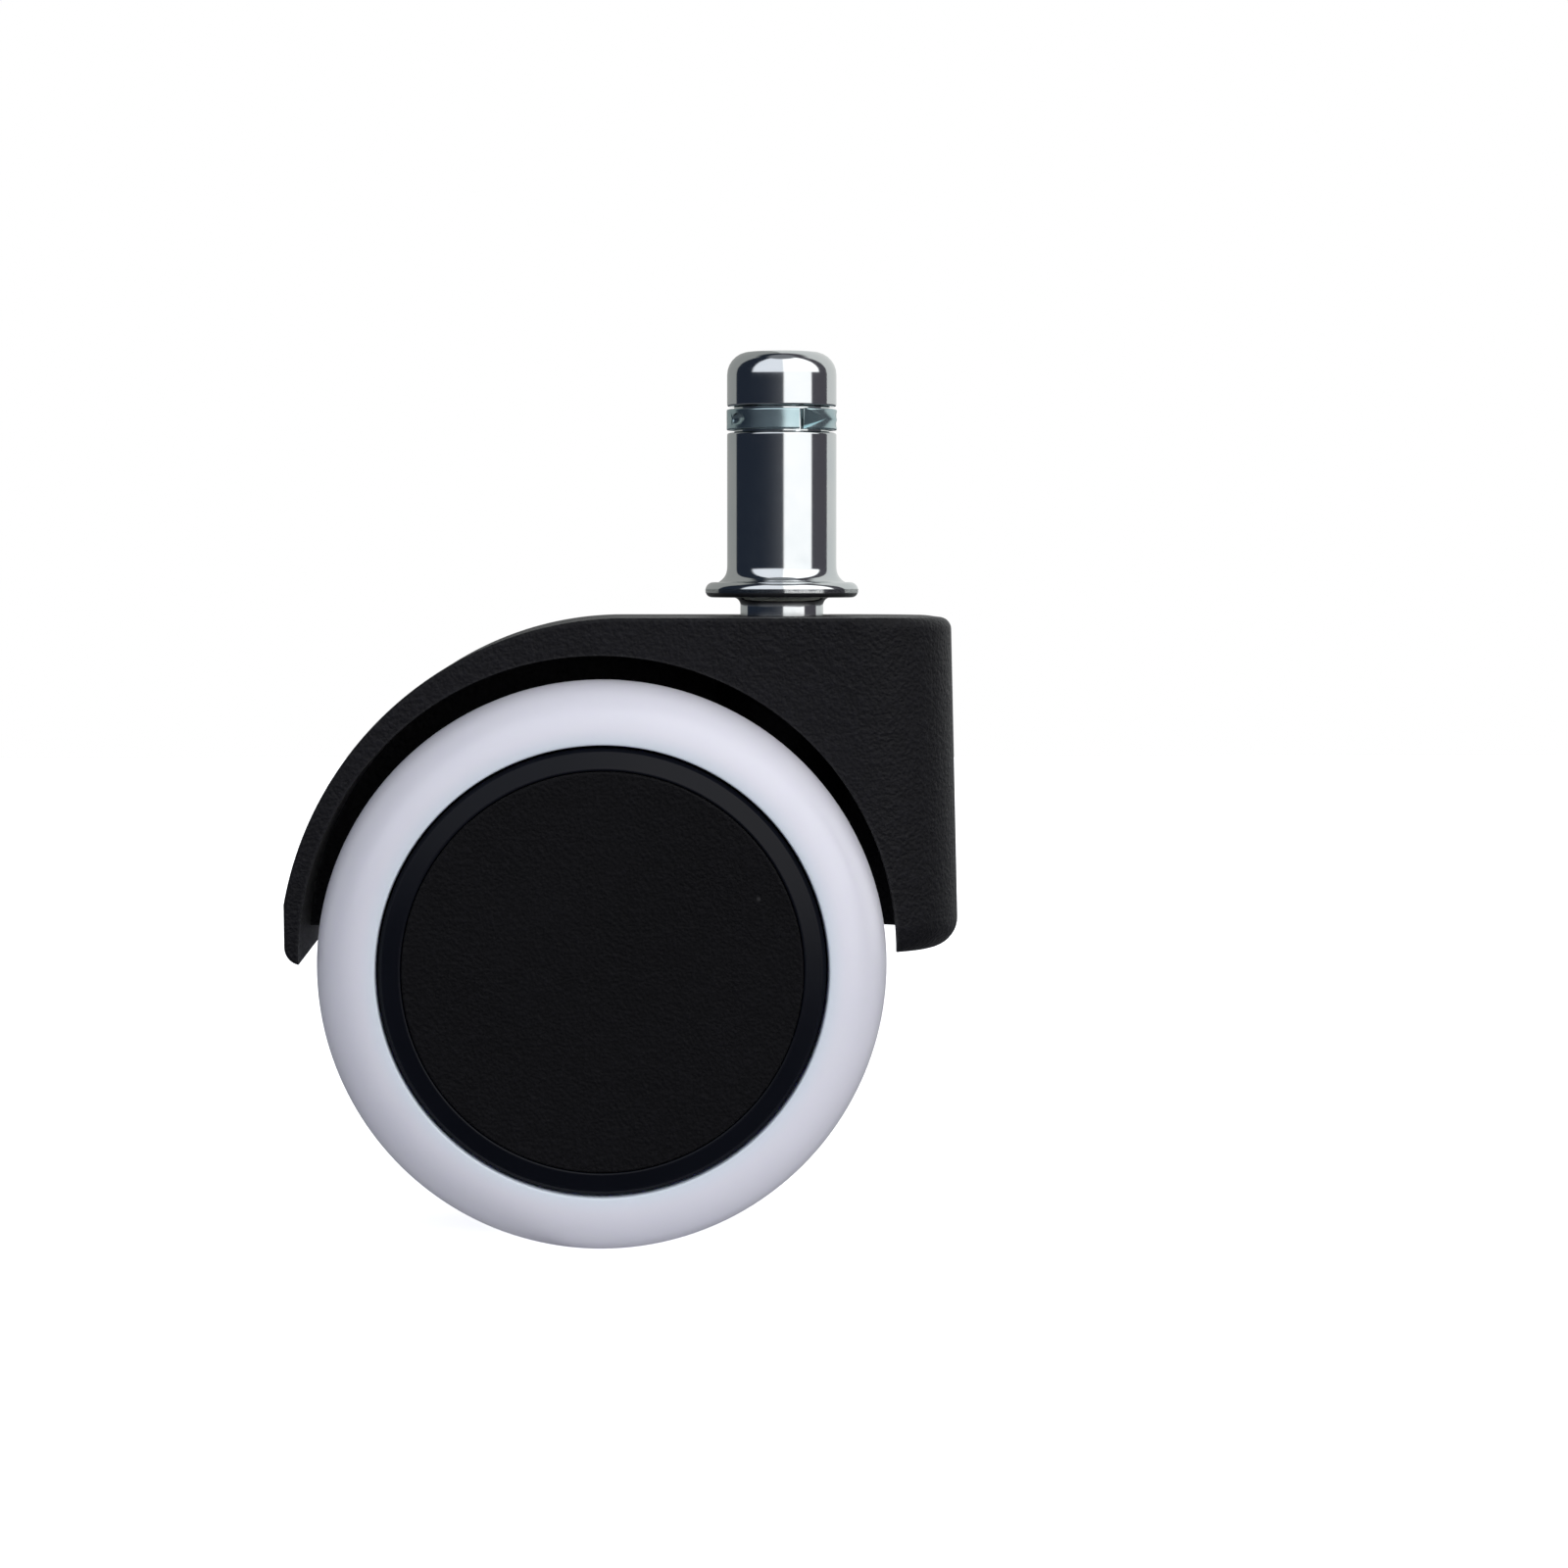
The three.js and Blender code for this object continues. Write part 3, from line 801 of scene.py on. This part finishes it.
def hood_solid():
    """The hood before its wells are cut: its outline carried across, rounding at the back."""
    sections = hood_sections()
    outlines = [hood_outline(shift, inset) for _, shift, inset in sections]
    count = len(outlines[0])
    verts = [
        (x, y, z) for (y, _, _), outline in zip(sections, outlines) for x, z in outline
    ]
    faces = []
    for i in range(len(sections) - 1):
        here, there = i * count, (i + 1) * count
        for j in range(count):
            k = (j + 1) % count
            faces.append((here + j, here + k, there + k, there + j))
    last = (len(sections) - 1) * count
    faces.append(tuple(range(count)))
    faces.append(tuple(range(last + count - 1, last - 1, -1)))
    return make_object("moulded_hood", verts, faces)


def well_cutter():
    """The space for both wheels, open downwards and to both sides."""
    around = arc(WELL_X, WELL_Z, WELL_R, 0, 180, 128)
    outline = [(WELL_X + WELL_R, PAST_FOOT), *around, (WELL_X - WELL_R, PAST_FOOT)]
    return slab("well", outline, -PAST_SIDE, PAST_SIDE)


def plan_inside():
    """The inside of the hood's skin seen from above, well rounded at the back."""
    side = hood_high.y - SKIN
    back = hood_high.x - SKIN
    turn = BACK_PLAN_ROUND - SKIN
    return [
        (PAST_NOSE, -side),
        *arc(back - turn, turn - side, turn, -90, 0, 24),
        *arc(back - turn, side - turn, turn, 0, 90, 24),
        (PAST_NOSE, side),
    ]


def hollow_outline():
    """The side outline of the hollows above and behind the wheels, one skin inside the hood."""
    return [
        (hood_high.x - SKIN, BACK_FOOT - SKIN),
        (hood_high.x - BACK_LEAN - SKIN, hood_high.z - SKIN),
        *arc(ARC_X, hood_high.z - ARC_R, ARC_R - SKIN, 90, 150, 40),
        (WELL_X, BACK_FOOT - SKIN),
    ]


def rectangle(left, right, low, high):
    """A rectangle's corners, in order."""
    return [(left, low), (right, low), (right, high), (left, high)]


def hollows():
    """A hollow on each side of the web with a rib across from the boss, meeting under the web."""
    side = hood_high.y
    left = slab("hollow", hollow_outline(), WEB_HALF, side)
    right = slab("hollow", hollow_outline(), -side, -WEB_HALF)
    under = rectangle(0, 20, BACK_FOOT - SKIN, WEB_FOOT)
    below = slab("hollow", under, -side, side)
    inside = post("inside", plan_inside(), -60, hood_high.z - SKIN)
    rib = slab("rib", rectangle(-RIB_HALF, RIB_HALF, -60, 0), -side, side)
    combine(left, "UNION", right, below)
    combine(left, "DIFFERENCE", rib)
    return combine(left, "INTERSECT", inside)


def web_outline():
    """The web between the wheels, down to just above the axle."""
    r = WELL_R + WEB_OVERLAP
    lift = math.degrees(math.asin((WEB_FOOT - WELL_Z) / r))
    return arc(WELL_X, WELL_Z, r, lift, 180 - lift, 80)


def cylinder(name, r, place, low, high, sides=96):
    """A plain round bar, for joining to or cutting from a bigger piece."""
    return turned(name, [(0, low), (r, low), (r, high), (0, high)], place, sides, closed=False)


def make_housing():
    """The moulded hood with its web, the boss for the stem and the boss for the axle."""
    hood = hood_solid()
    combine(hood, "DIFFERENCE", well_cutter())
    combine(hood, "DIFFERENCE", hollows())
    web = slab("web", web_outline(), -WEB_HALF, WEB_HALF)
    stem_boss = cylinder("stem_boss", STEM_BOSS_R, on_stem, STEM_BOSS_FOOT, hood_high.z - 1)
    axle_boss = cylinder("axle_boss", AXLE_BOSS_R, on_axle(1), -AXLE_BOSS_HALF, AXLE_BOSS_HALF)
    combine(hood, "UNION", web, stem_boss, axle_boss)
    socket = cylinder("socket", SOCKET_R, on_stem, SOCKET_FLOOR, 5)
    axle_bore = cylinder("axle_bore", AXLE_HOLE_R, on_axle(1), -10, 10)
    combine(hood, "DIFFERENCE", socket, axle_bore)
    soften_edges(hood, 0.3, angle=35)
    return hand_over(hood, hood_nylon, "housing", "hood_nylon", "housing")


# ---------------------------------------------------------------- geometry node trees


def apply_tree(made, tree, inputs):
    """Runs a geometry tree on an object with the given inputs and keeps the plain mesh."""
    step = made.modifiers.new("form", "NODES")
    step.node_group = tree
    for item in tree.interface.items_tree:
        if item.item_type == "SOCKET" and item.in_out == "INPUT" and item.name in inputs:
            step[item.identifier] = inputs[item.name]
    made.update_tag()
    return settle(made)


def finish_tree(tree, start, end, geometry):
    """Ends a tree with real geometry that carries its material."""
    real = add_node(tree, "GeometryNodeRealizeInstances", {0: geometry})
    smooth = add_node(tree, "GeometryNodeSetShadeSmooth", {0: real.outputs[0]})
    coated = add_node(
        tree,
        "GeometryNodeSetMaterial",
        {"Geometry": smooth.outputs[0], "Material": start.outputs["Material"]},
    )
    feed(tree, end.inputs[0], coated.outputs[0])


def ring_of_copies(tree, start, unit):
    """Copies of a unit shape set round the Z axis, sized and placed by the tree's inputs."""
    offset = add_node(
        tree, "ShaderNodeCombineXYZ", {"X": start.outputs["Reach"], "Z": start.outputs["Along"]}
    )
    shaped = add_node(
        tree,
        "GeometryNodeTransform",
        {
            "Geometry": unit,
            "Translation": offset.outputs[0],
            "Scale": start.outputs["Size"],
        },
    )
    places = add_node(tree, "GeometryNodePoints", {"Count": start.outputs["Count"]})
    index = Rule(tree, tree.nodes.new("GeometryNodeInputIndex").outputs[0])
    angle = index * Rule(tree, start.outputs["Step Angle"]) + Rule(
        tree, start.outputs["Start Angle"]
    )
    turn = add_node(tree, "ShaderNodeCombineXYZ", {"Z": angle})
    copies = add_node(
        tree,
        "GeometryNodeInstanceOnPoints",
        {
            "Points": places.outputs[0],
            "Instance": shaped.outputs[0],
            "Rotation": turn.outputs[0],
        },
    )
    return add_node(tree, "GeometryNodeRealizeInstances", {0: copies.outputs[0]}).outputs[0]


RING_INPUTS = [
    ("Geometry", GEOMETRY, None),
    ("Count", WHOLE, 8),
    ("Start Angle", FLOAT, 0.0),
    ("Step Angle", FLOAT, 0.5),
    ("Reach", FLOAT, 0.01),
    ("Along", FLOAT, 0.0),
    ("Size", VECTOR, (0.001, 0.001, 0.001)),
    ("Material", MATERIAL, None),
]


def ring_of_dimples_tree():
    """Rounded dimples pressed into a piece, spaced round the Z axis."""
    tree, start, end = new_group(
        "ring_of_dimples", "GeometryNodeTree", RING_INPUTS, [("Geometry", GEOMETRY)]
    )
    ball = add_node(tree, "GeometryNodeMeshUVSphere", {"Segments": 48, "Rings": 24, "Radius": 1.0})
    dimples = ring_of_copies(tree, start, ball.outputs["Mesh"])
    pressed = add_node(tree, "GeometryNodeMeshBoolean", operation="DIFFERENCE", solver="EXACT")
    tree.links.new(start.outputs["Geometry"], pressed.inputs["Mesh 1"])
    tree.links.new(dimples, pressed.inputs["Mesh 2"])
    finish_tree(tree, start, end, pressed.outputs["Mesh"])
    return tree


def ring_of_blocks_tree(name, operation):
    """Square-edged blocks joined to a piece, or cut out of it, spaced round the Z axis."""
    tree, start, end = new_group(
        name, "GeometryNodeTree", RING_INPUTS, [("Geometry", GEOMETRY)]
    )
    block = add_node(tree, "GeometryNodeMeshCube", {"Size": (1.0, 1.0, 1.0)})
    blocks = ring_of_copies(tree, start, block.outputs["Mesh"])
    worked = add_node(tree, "GeometryNodeMeshBoolean", operation=operation, solver="EXACT")
    side = "Mesh 1" if operation == "DIFFERENCE" else "Mesh 2"
    tree.links.new(start.outputs["Geometry"], worked.inputs[side])
    tree.links.new(blocks, worked.inputs["Mesh 2"])
    finish_tree(tree, start, end, worked.outputs["Mesh"])
    return tree


def tyre_tree():
    """The tyre: a rounded section carried round the Z axis, with a seat inside for the rim.

    The tread side of the section is a superellipse and the seat side is a flatter one, so the
    edges where the two meet are softly rounded.
    """
    inputs = [
        ("Geometry", GEOMETRY, None),
        ("Sides", WHOLE, 192),
        ("Section Steps", WHOLE, 96),
        ("Radius", FLOAT, 0.025),
        ("Half Width", FLOAT, 0.0084),
        ("Bore", FLOAT, 0.01965),
        ("Lip", FLOAT, 0.0003),
        ("Roundness", FLOAT, 2.4),
        ("Seat Depth", FLOAT, 0.0012),
        ("Seat Half Width", FLOAT, 0.0057),
        ("Middle", FLOAT, 0.0158),
        ("Material", MATERIAL, None),
    ]
    tree, start, end = new_group(
        "tyre_form", "GeometryNodeTree", inputs, [("Geometry", GEOMETRY)]
    )
    size = {name: Rule(tree, start.outputs[name]) for name, _, _ in inputs if name != "Geometry"}
    grid = add_node(
        tree,
        "GeometryNodeMeshGrid",
        {
            "Size X": 1.0,
            "Size Y": 1.0,
            "Vertices X": size["Sides"] + 1,
            "Vertices Y": size["Section Steps"] + 1,
        },
    )
    position = tree.nodes.new("GeometryNodeInputPosition").outputs[0]
    parts = add_node(tree, "ShaderNodeSeparateXYZ", {0: position})
    around = Rule(tree, parts.outputs["X"]) * (2 * math.pi)
    along_section = Rule(tree, parts.outputs["Y"]) * (2 * math.pi)
    across = along_section.math("COSINE")
    up = along_section.math("SINE")
    outside = up.math("GREATER_THAN", 0.0)
    inside = outside * -1.0 + 1.0
    round_power = (size["Roundness"] ** -1.0) * 2.0
    seat_power = 0.3
    seat_ramp = 0.0008
    power = outside * round_power + inside * seat_power
    wide = abs(across) ** round_power
    tall = abs(up) ** power
    sideways = across.math("SIGN") * wide * size["Half Width"]
    height = size["Radius"] - size["Bore"] - size["Lip"]
    rise = outside * tall * height - inside * tall * size["Lip"]
    recess_start = (size["Seat Half Width"] - abs(sideways)) / seat_ramp
    recess = recess_start.within(0.0, 1.0) * size["Seat Depth"] * inside
    radius = size["Bore"] + size["Lip"] + rise + recess
    place = add_node(
        tree,
        "ShaderNodeCombineXYZ",
        {
            "X": radius * around.math("COSINE"),
            "Y": radius * around.math("SINE"),
            "Z": sideways + size["Middle"],
        },
    )
    bent = add_node(
        tree,
        "GeometryNodeSetPosition",
        {"Geometry": grid.outputs["Mesh"], "Position": place.outputs[0]},
    )
    seam_gap = 5e-6
    welded = add_node(
        tree, "GeometryNodeMergeByDistance", {"Geometry": bent.outputs[0], "Distance": seam_gap}
    )
    finish_tree(tree, start, end, welded.outputs[0])
    return tree


def onto_axle(made, side):
    """Carries a piece made about the Z axis onto the axle, and points its faces out."""
    lay = Matrix.Rotation(math.radians(-90 * side), 4, "X")
    made.data.transform(Matrix.Translation((AXLE_X * MM, 0, AXLE_Z * MM)) @ lay)
    weld(made.data)
    return made


# ---------------------------------------------------------------- wheels

TYRE_TREE = tyre_tree()
RIBS_TREE = ring_of_blocks_tree("ring_of_ribs", "UNION")
SLOTS_TREE = ring_of_blocks_tree("ring_of_slots", "DIFFERENCE")


HUB_BORE_R = 4.85
HUB_R = 7.4
HUB_BACK = 7.5
HUB_FRONT = 19.6
DISC_BACK = 11.2
DISC_FRONT = 13.7
RIM_BORE_R = 17.6
RIM_BACK = 7.9
RIM_R = 20.6
SEAT_BORE_R = 16.2
SEAT_FLOOR = 22.6
CORE_RIBS = 9
NUT_SLOTS = 6


def make_tyre(name, side):
    """The moulded tread of one wheel."""
    tyre = make_object(f"cast_tyre_{name}", [], [])
    sizes = {
        "Radius": WHEEL_R * MM,
        "Half Width": (tyre_high.y - tyre_low.y) / 2 * MM,
        "Bore": (CORE_FACE_R + 0.15) * MM,
        "Middle": (tyre_high.y + tyre_low.y) / 2 * MM,
        "Material": tyre_urethane,
    }
    apply_tree(tyre, TYRE_TREE, sizes)
    onto_axle(tyre, side)
    shade(tyre, 60)
    return hand_over(tyre, tyre_urethane, f"wheel_{name}", "tyre_urethane", f"tyre_{name}")


def make_wheel_core(name, side):
    """Hub, ribbed disc and rim, with a polished bevel round the seat of the hub cap."""
    corners = [
        (HUB_BORE_R, HUB_BACK, 0.2),
        (HUB_R, HUB_BACK, 0.3),
        (HUB_R, DISC_BACK, 0.5),
        (RIM_BORE_R, DISC_BACK, 0.5),
        (RIM_BORE_R, RIM_BACK, 0.3),
        (CORE_FACE_R, RIM_BACK, 0.3),
        (CORE_FACE_R, 10.2, 0.2),
        (RIM_R, 11.1, 0.3),
        (RIM_R, 20.3, 0.3),
        (CORE_FACE_R, 21.2, 0.2),
        (CORE_FACE_R, 23.6, 0.12),
        (CORE_FACE_R - 0.3, 23.95, 0.12),
        (CAP_SEAT_R, 24.4, 0.18),
        (CAP_SEAT_R, SEAT_FLOOR, 0.1),
        (SEAT_BORE_R, SEAT_FLOOR, 0.2),
        (SEAT_BORE_R, DISC_FRONT, 0.5),
        (HUB_R, DISC_FRONT, 0.5),
        (HUB_R, HUB_FRONT, 0.2),
        (HUB_BORE_R, HUB_FRONT, 0.2),
    ]
    profile = rounded(corners, closed=True, steps=4)
    core = turned(f"wheel_rim_{name}", profile, on_stem, 160)
    sizes = {
        "Count": CORE_RIBS,
        "Start Angle": 0.0,
        "Step Angle": 2 * math.pi / CORE_RIBS,
        "Reach": 12.5 * MM,
        "Along": 10.3 * MM,
        "Size": (10.8 * MM, 1.2 * MM, 3.4 * MM),
        "Material": core_nylon,
    }
    apply_tree(core, RIBS_TREE, sizes)
    onto_axle(core, side)
    shade(core, 35)
    return hand_over(core, core_nylon, f"wheel_{name}", "core_nylon", f"wheel_core_{name}")


def make_hub_cap(name, side):
    """The flat cover over the wheel's hub, very slightly crowned, with its snap skirt."""
    rings = (16.5, 14, 11, 8, 5, 2.5, 1, 0)
    crown = [(r, CAP_FACE - CAP_CROWN * (r / CAP_R) ** 2) for r in rings]
    corners = [
        (0, 22.9),
        (15.0, 22.9, 0.2),
        (15.0, 20.9, 0.15),
        (15.9, 20.9, 0.15),
        (15.9, 22.9, 0.15),
        (CAP_R, 22.9, 0.15),
        (CAP_R, CAP_FACE - CAP_CROWN, 0.16),
        *crown,
    ]
    profile = rounded(corners, steps=5)
    cap = turned(f"flat_cap_{name}", profile, on_axle(side), 160, closed=False)
    shade(cap, 40)
    return hand_over(cap, cap_nylon, f"wheel_{name}", "cap_nylon", f"hub_cap_{name}")


def make_round_piece(name, corners, side, material, body, slot, node):
    """A bush or washer on the axle, from the corners of its section."""
    profile = rounded(corners, closed=True, steps=3)
    piece = turned(name, profile, on_axle(side), 96)
    shade(piece, 40)
    return hand_over(piece, material, body, slot, node)


def box_section(inner, outer, low, high, edge):
    """The corners of a plain ring's section, all with the same small round."""
    return [(inner, low, edge), (outer, low, edge), (outer, high, edge), (inner, high, edge)]


def make_push_nut(name, side):
    """A dished push-on nut, slotted into spring teeth that bite the axle."""
    corners = [
        (AXLE_HOLE_R, 21.65, 0.08),
        (5.2, 21.3, 0.1),
        (5.2, 21.65, 0.1),
        (AXLE_HOLE_R, 22.0, 0.08),
    ]
    nut = turned(f"toothed_nut_{name}", rounded(corners, closed=True, steps=3), on_stem, 96)
    sizes = {
        "Count": NUT_SLOTS,
        "Start Angle": 0.0,
        "Step Angle": 2 * math.pi / NUT_SLOTS,
        "Reach": 3.5 * MM,
        "Along": 21.7 * MM,
        "Size": (1.6 * MM, 0.5 * MM, 2.0 * MM),
        "Material": spring_steel,
    }
    apply_tree(nut, SLOTS_TREE, sizes)
    onto_axle(nut, side)
    shade(nut, 35)
    return hand_over(nut, spring_steel, "housing", "spring_steel", f"push_nut_{name}")


def make_axle():
    """The axle, chamfered at both ends."""
    end = 22.3
    corners = [(0, -end), (AXLE_R, -end, 0.4), (AXLE_R, end, 0.4), (0, end)]
    axle = turned("ground_axle", rounded(corners, steps=4), on_axle(1), 96, closed=False)
    shade(axle, 40)
    return hand_over(axle, plain_steel, "housing", "plain_steel", "axle")


def make_sleeve():
    """The bearing sleeve in the housing's socket, with a chamfered mouth."""
    low, high = box_mm("socket_sleeve")
    corners = box_section(3.97, 4.75, low.z, high.z, 0.25)
    sleeve = turned("bearing_sleeve", rounded(corners, closed=True, steps=4), on_stem, 96)
    shade(sleeve, 40)
    return hand_over(sleeve, bearing_nylon, "housing", "bearing_nylon", "socket_sleeve")


def make_wheel(name, side):
    """One wheel, with the bush it turns on and the washers and nut that hold it."""
    make_tyre(name, side)
    make_wheel_core(name, side)
    make_hub_cap(name, side)
    bush = [
        (AXLE_HOLE_R, 7.55, 0.2),
        (BUSH_R, 7.55, 0.2),
        (BUSH_R, 19.8, 0.1),
        (5.6, 19.8, 0.15),
        (5.6, 20.4, 0.15),
        (AXLE_HOLE_R, 20.4, 0.2),
    ]
    wheel = f"wheel_{name}"
    make_round_piece(
        f"turned_bush_{name}", bush, side, bearing_nylon, wheel, "bearing_nylon", f"wheel_bush_{name}"
    )
    inner = box_section(AXLE_HOLE_R, 6.0, 6.78, 7.25, 0.12)
    outer = box_section(AXLE_HOLE_R, 5.6, 20.6, 21.1, 0.12)
    make_round_piece(
        f"glide_washer_{name}", inner, side, bearing_nylon, "housing", "bearing_nylon",
        f"inner_washer_{name}",
    )
    make_round_piece(
        f"steel_washer_{name}", outer, side, plain_steel, "housing", "plain_steel",
        f"outer_washer_{name}",
    )
    make_push_nut(name, side)


def finish_hidden_nodes():
    """The two CAD pieces deep in the socket keep their shapes and get their real finishes."""
    for node, material in (("stem_snap_ring", spring_steel), ("thrust_disc", plain_steel)):
        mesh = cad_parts[node].data
        mesh.materials.clear()
        mesh.materials.append(material)


make_stem_pin()
make_grip_ring()
make_housing()
make_sleeve()
make_axle()
for wheel_name, wheel_side in (("left", 1), ("right", -1)):
    make_wheel(wheel_name, wheel_side)
finish_hidden_nodes()

# ---------------------------------------------------------------- stage, light and camera


FLOOR_HALF = 0.95
FLOOR_GAP = 0.0001
CAMERA_PLACE = (-0.0168, -0.3773, 0.0008)
CAMERA_PITCH = -2.93
CAMERA_YAW = -2.58

# Each light box: its ends sideways and their softness, its foot and top, and its colour.
BOXES = [
    (-68, 0, 6.0, 11, 74, (1.10, 1.14, 1.22, 1)),
    (0, 84, 4.0, 11, 74, (1.85, 1.85, 1.85, 1)),
    (1.5, 63, 3.0, -20, 12, (1.55, 1.55, 1.55, 1)),
]


def make_floor():
    """A pale sheet just under the wheels."""
    z = FLOOR_Z * MM - FLOOR_GAP
    mesh = bpy.data.meshes.new("studio_floor")
    corners = [(x, y, z) for x, y in rectangle(-FLOOR_HALF, FLOOR_HALF, -FLOOR_HALF, FLOOR_HALF)]
    mesh.from_pydata(corners, [], [(0, 1, 2, 3)])
    floor = bpy.data.objects.new("studio_floor", mesh)
    bpy.context.scene.collection.objects.link(floor)
    mesh.materials.append(pale_floor())


def pale_floor():
    """Paper that shows white to the camera and throws less light back up at the caster."""
    material = bpy.data.materials.new("pale_floor")
    material.use_nodes = True
    tree = material.node_tree
    shader = tree.nodes["Principled BSDF"]
    ray = tree.nodes.new("ShaderNodeLightPath")
    seen = Rule(tree, ray.outputs["Is Camera Ray"])
    soft = Rule(tree, ray.outputs["Is Diffuse Ray"])
    tone = mix_rgb(tree, seen.socket, (0.12, 0.125, 0.14, 1), (0.9, 0.9, 0.9, 1))
    feed(tree, shader.inputs["Base Color"], tone)
    feed(tree, shader.inputs["Emission Strength"], seen * 0.8 + soft * 0.68)
    shader.inputs["Emission Color"].default_value = (0.96, 0.97, 1, 1)
    shader.inputs["Roughness"].default_value = 0.8
    shader.inputs["Specular IOR Level"].default_value = 0.0
    return material


def band(value, low, high, soft):
    """1 where a value lies between two limits, fading to 0 over a soft edge."""
    rising = ((value - low) / soft + 0.5).within(0.0, 1.0)
    falling = ((value * -1.0 + high) / soft + 0.5).within(0.0, 1.0)
    return rising * falling


def light_studio():
    """A pale studio, all as parts of the world: high boxes at the front and the left front, a
    low box at the right front, pale sweeps behind and dark drapes between them."""
    world = bpy.data.worlds.new("studio")
    bpy.context.scene.world = world
    world.use_nodes = True
    tree = world.node_tree
    background = tree.nodes["Background"]
    direction = tree.nodes.new("ShaderNodeTexCoord").outputs["Generated"]
    parts = add_node(tree, "ShaderNodeSeparateXYZ", {0: direction})
    x = Rule(tree, parts.outputs["X"])
    y = Rule(tree, parts.outputs["Y"])
    z = Rule(tree, parts.outputs["Z"])
    to_degrees = 180 / math.pi
    side = x.math("ARCTAN2", y * -1.0) * to_degrees
    height = z.math("ARCSINE") * to_degrees
    left_sweep = side.math("LESS_THAN", -114.0)
    right_sweep = side.math("GREATER_THAN", 108.0)
    backdrop = left_sweep.math("MAXIMUM", right_sweep) * band(height, -95, 60, 8.0)
    near_box = ((side + 62.0) / 62.0).within(0.0, 1.0) ** 2.5
    right = side.math("GREATER_THAN", 2.0)
    drape = mix_rgb(tree, near_box.socket, (0.02, 0.027, 0.042, 1), (0.105, 0.11, 0.125, 1))
    dark = mix_rgb(tree, right.socket, drape, (0.095, 0.09, 0.105, 1))
    overhead = band(height, 74, 100, 6.0)
    lit = mix_rgb(tree, overhead.socket, dark, (0.25, 0.26, 0.28, 1))
    sweep = mix_rgb(tree, right.socket, (0.37, 0.38, 0.37, 1), (0.78, 0.80, 0.79, 1))
    lit = mix_rgb(tree, backdrop.socket, lit, sweep)
    for left, end, soft, foot, top, colour in BOXES:
        box = band(side, left, end, soft) * band(height, foot, top, 4.0)
        lit = mix_rgb(tree, box.socket, lit, colour)
    seen = tree.nodes.new("ShaderNodeLightPath").outputs["Is Camera Ray"]
    shown = mix_rgb(tree, seen, lit, (1, 1, 1, 1))
    feed(tree, background.inputs["Color"], shown)


def add_camera():
    """A long lens in front of the near wheel, looking slightly down and to the right."""
    data = bpy.data.cameras.new("camera")
    data.lens = 94.5
    data.sensor_width = 36.0
    data.clip_start = 0.01
    data.clip_end = 20.0
    camera = bpy.data.objects.new("camera", data)
    bpy.context.scene.collection.objects.link(camera)
    camera.location = CAMERA_PLACE
    level = math.pi / 2
    camera.rotation_euler = (level + math.radians(CAMERA_PITCH), 0, math.radians(CAMERA_YAW))
    bpy.context.scene.camera = camera


make_floor()
light_studio()
add_camera()
bpy.context.scene.view_settings.view_transform = "Standard"
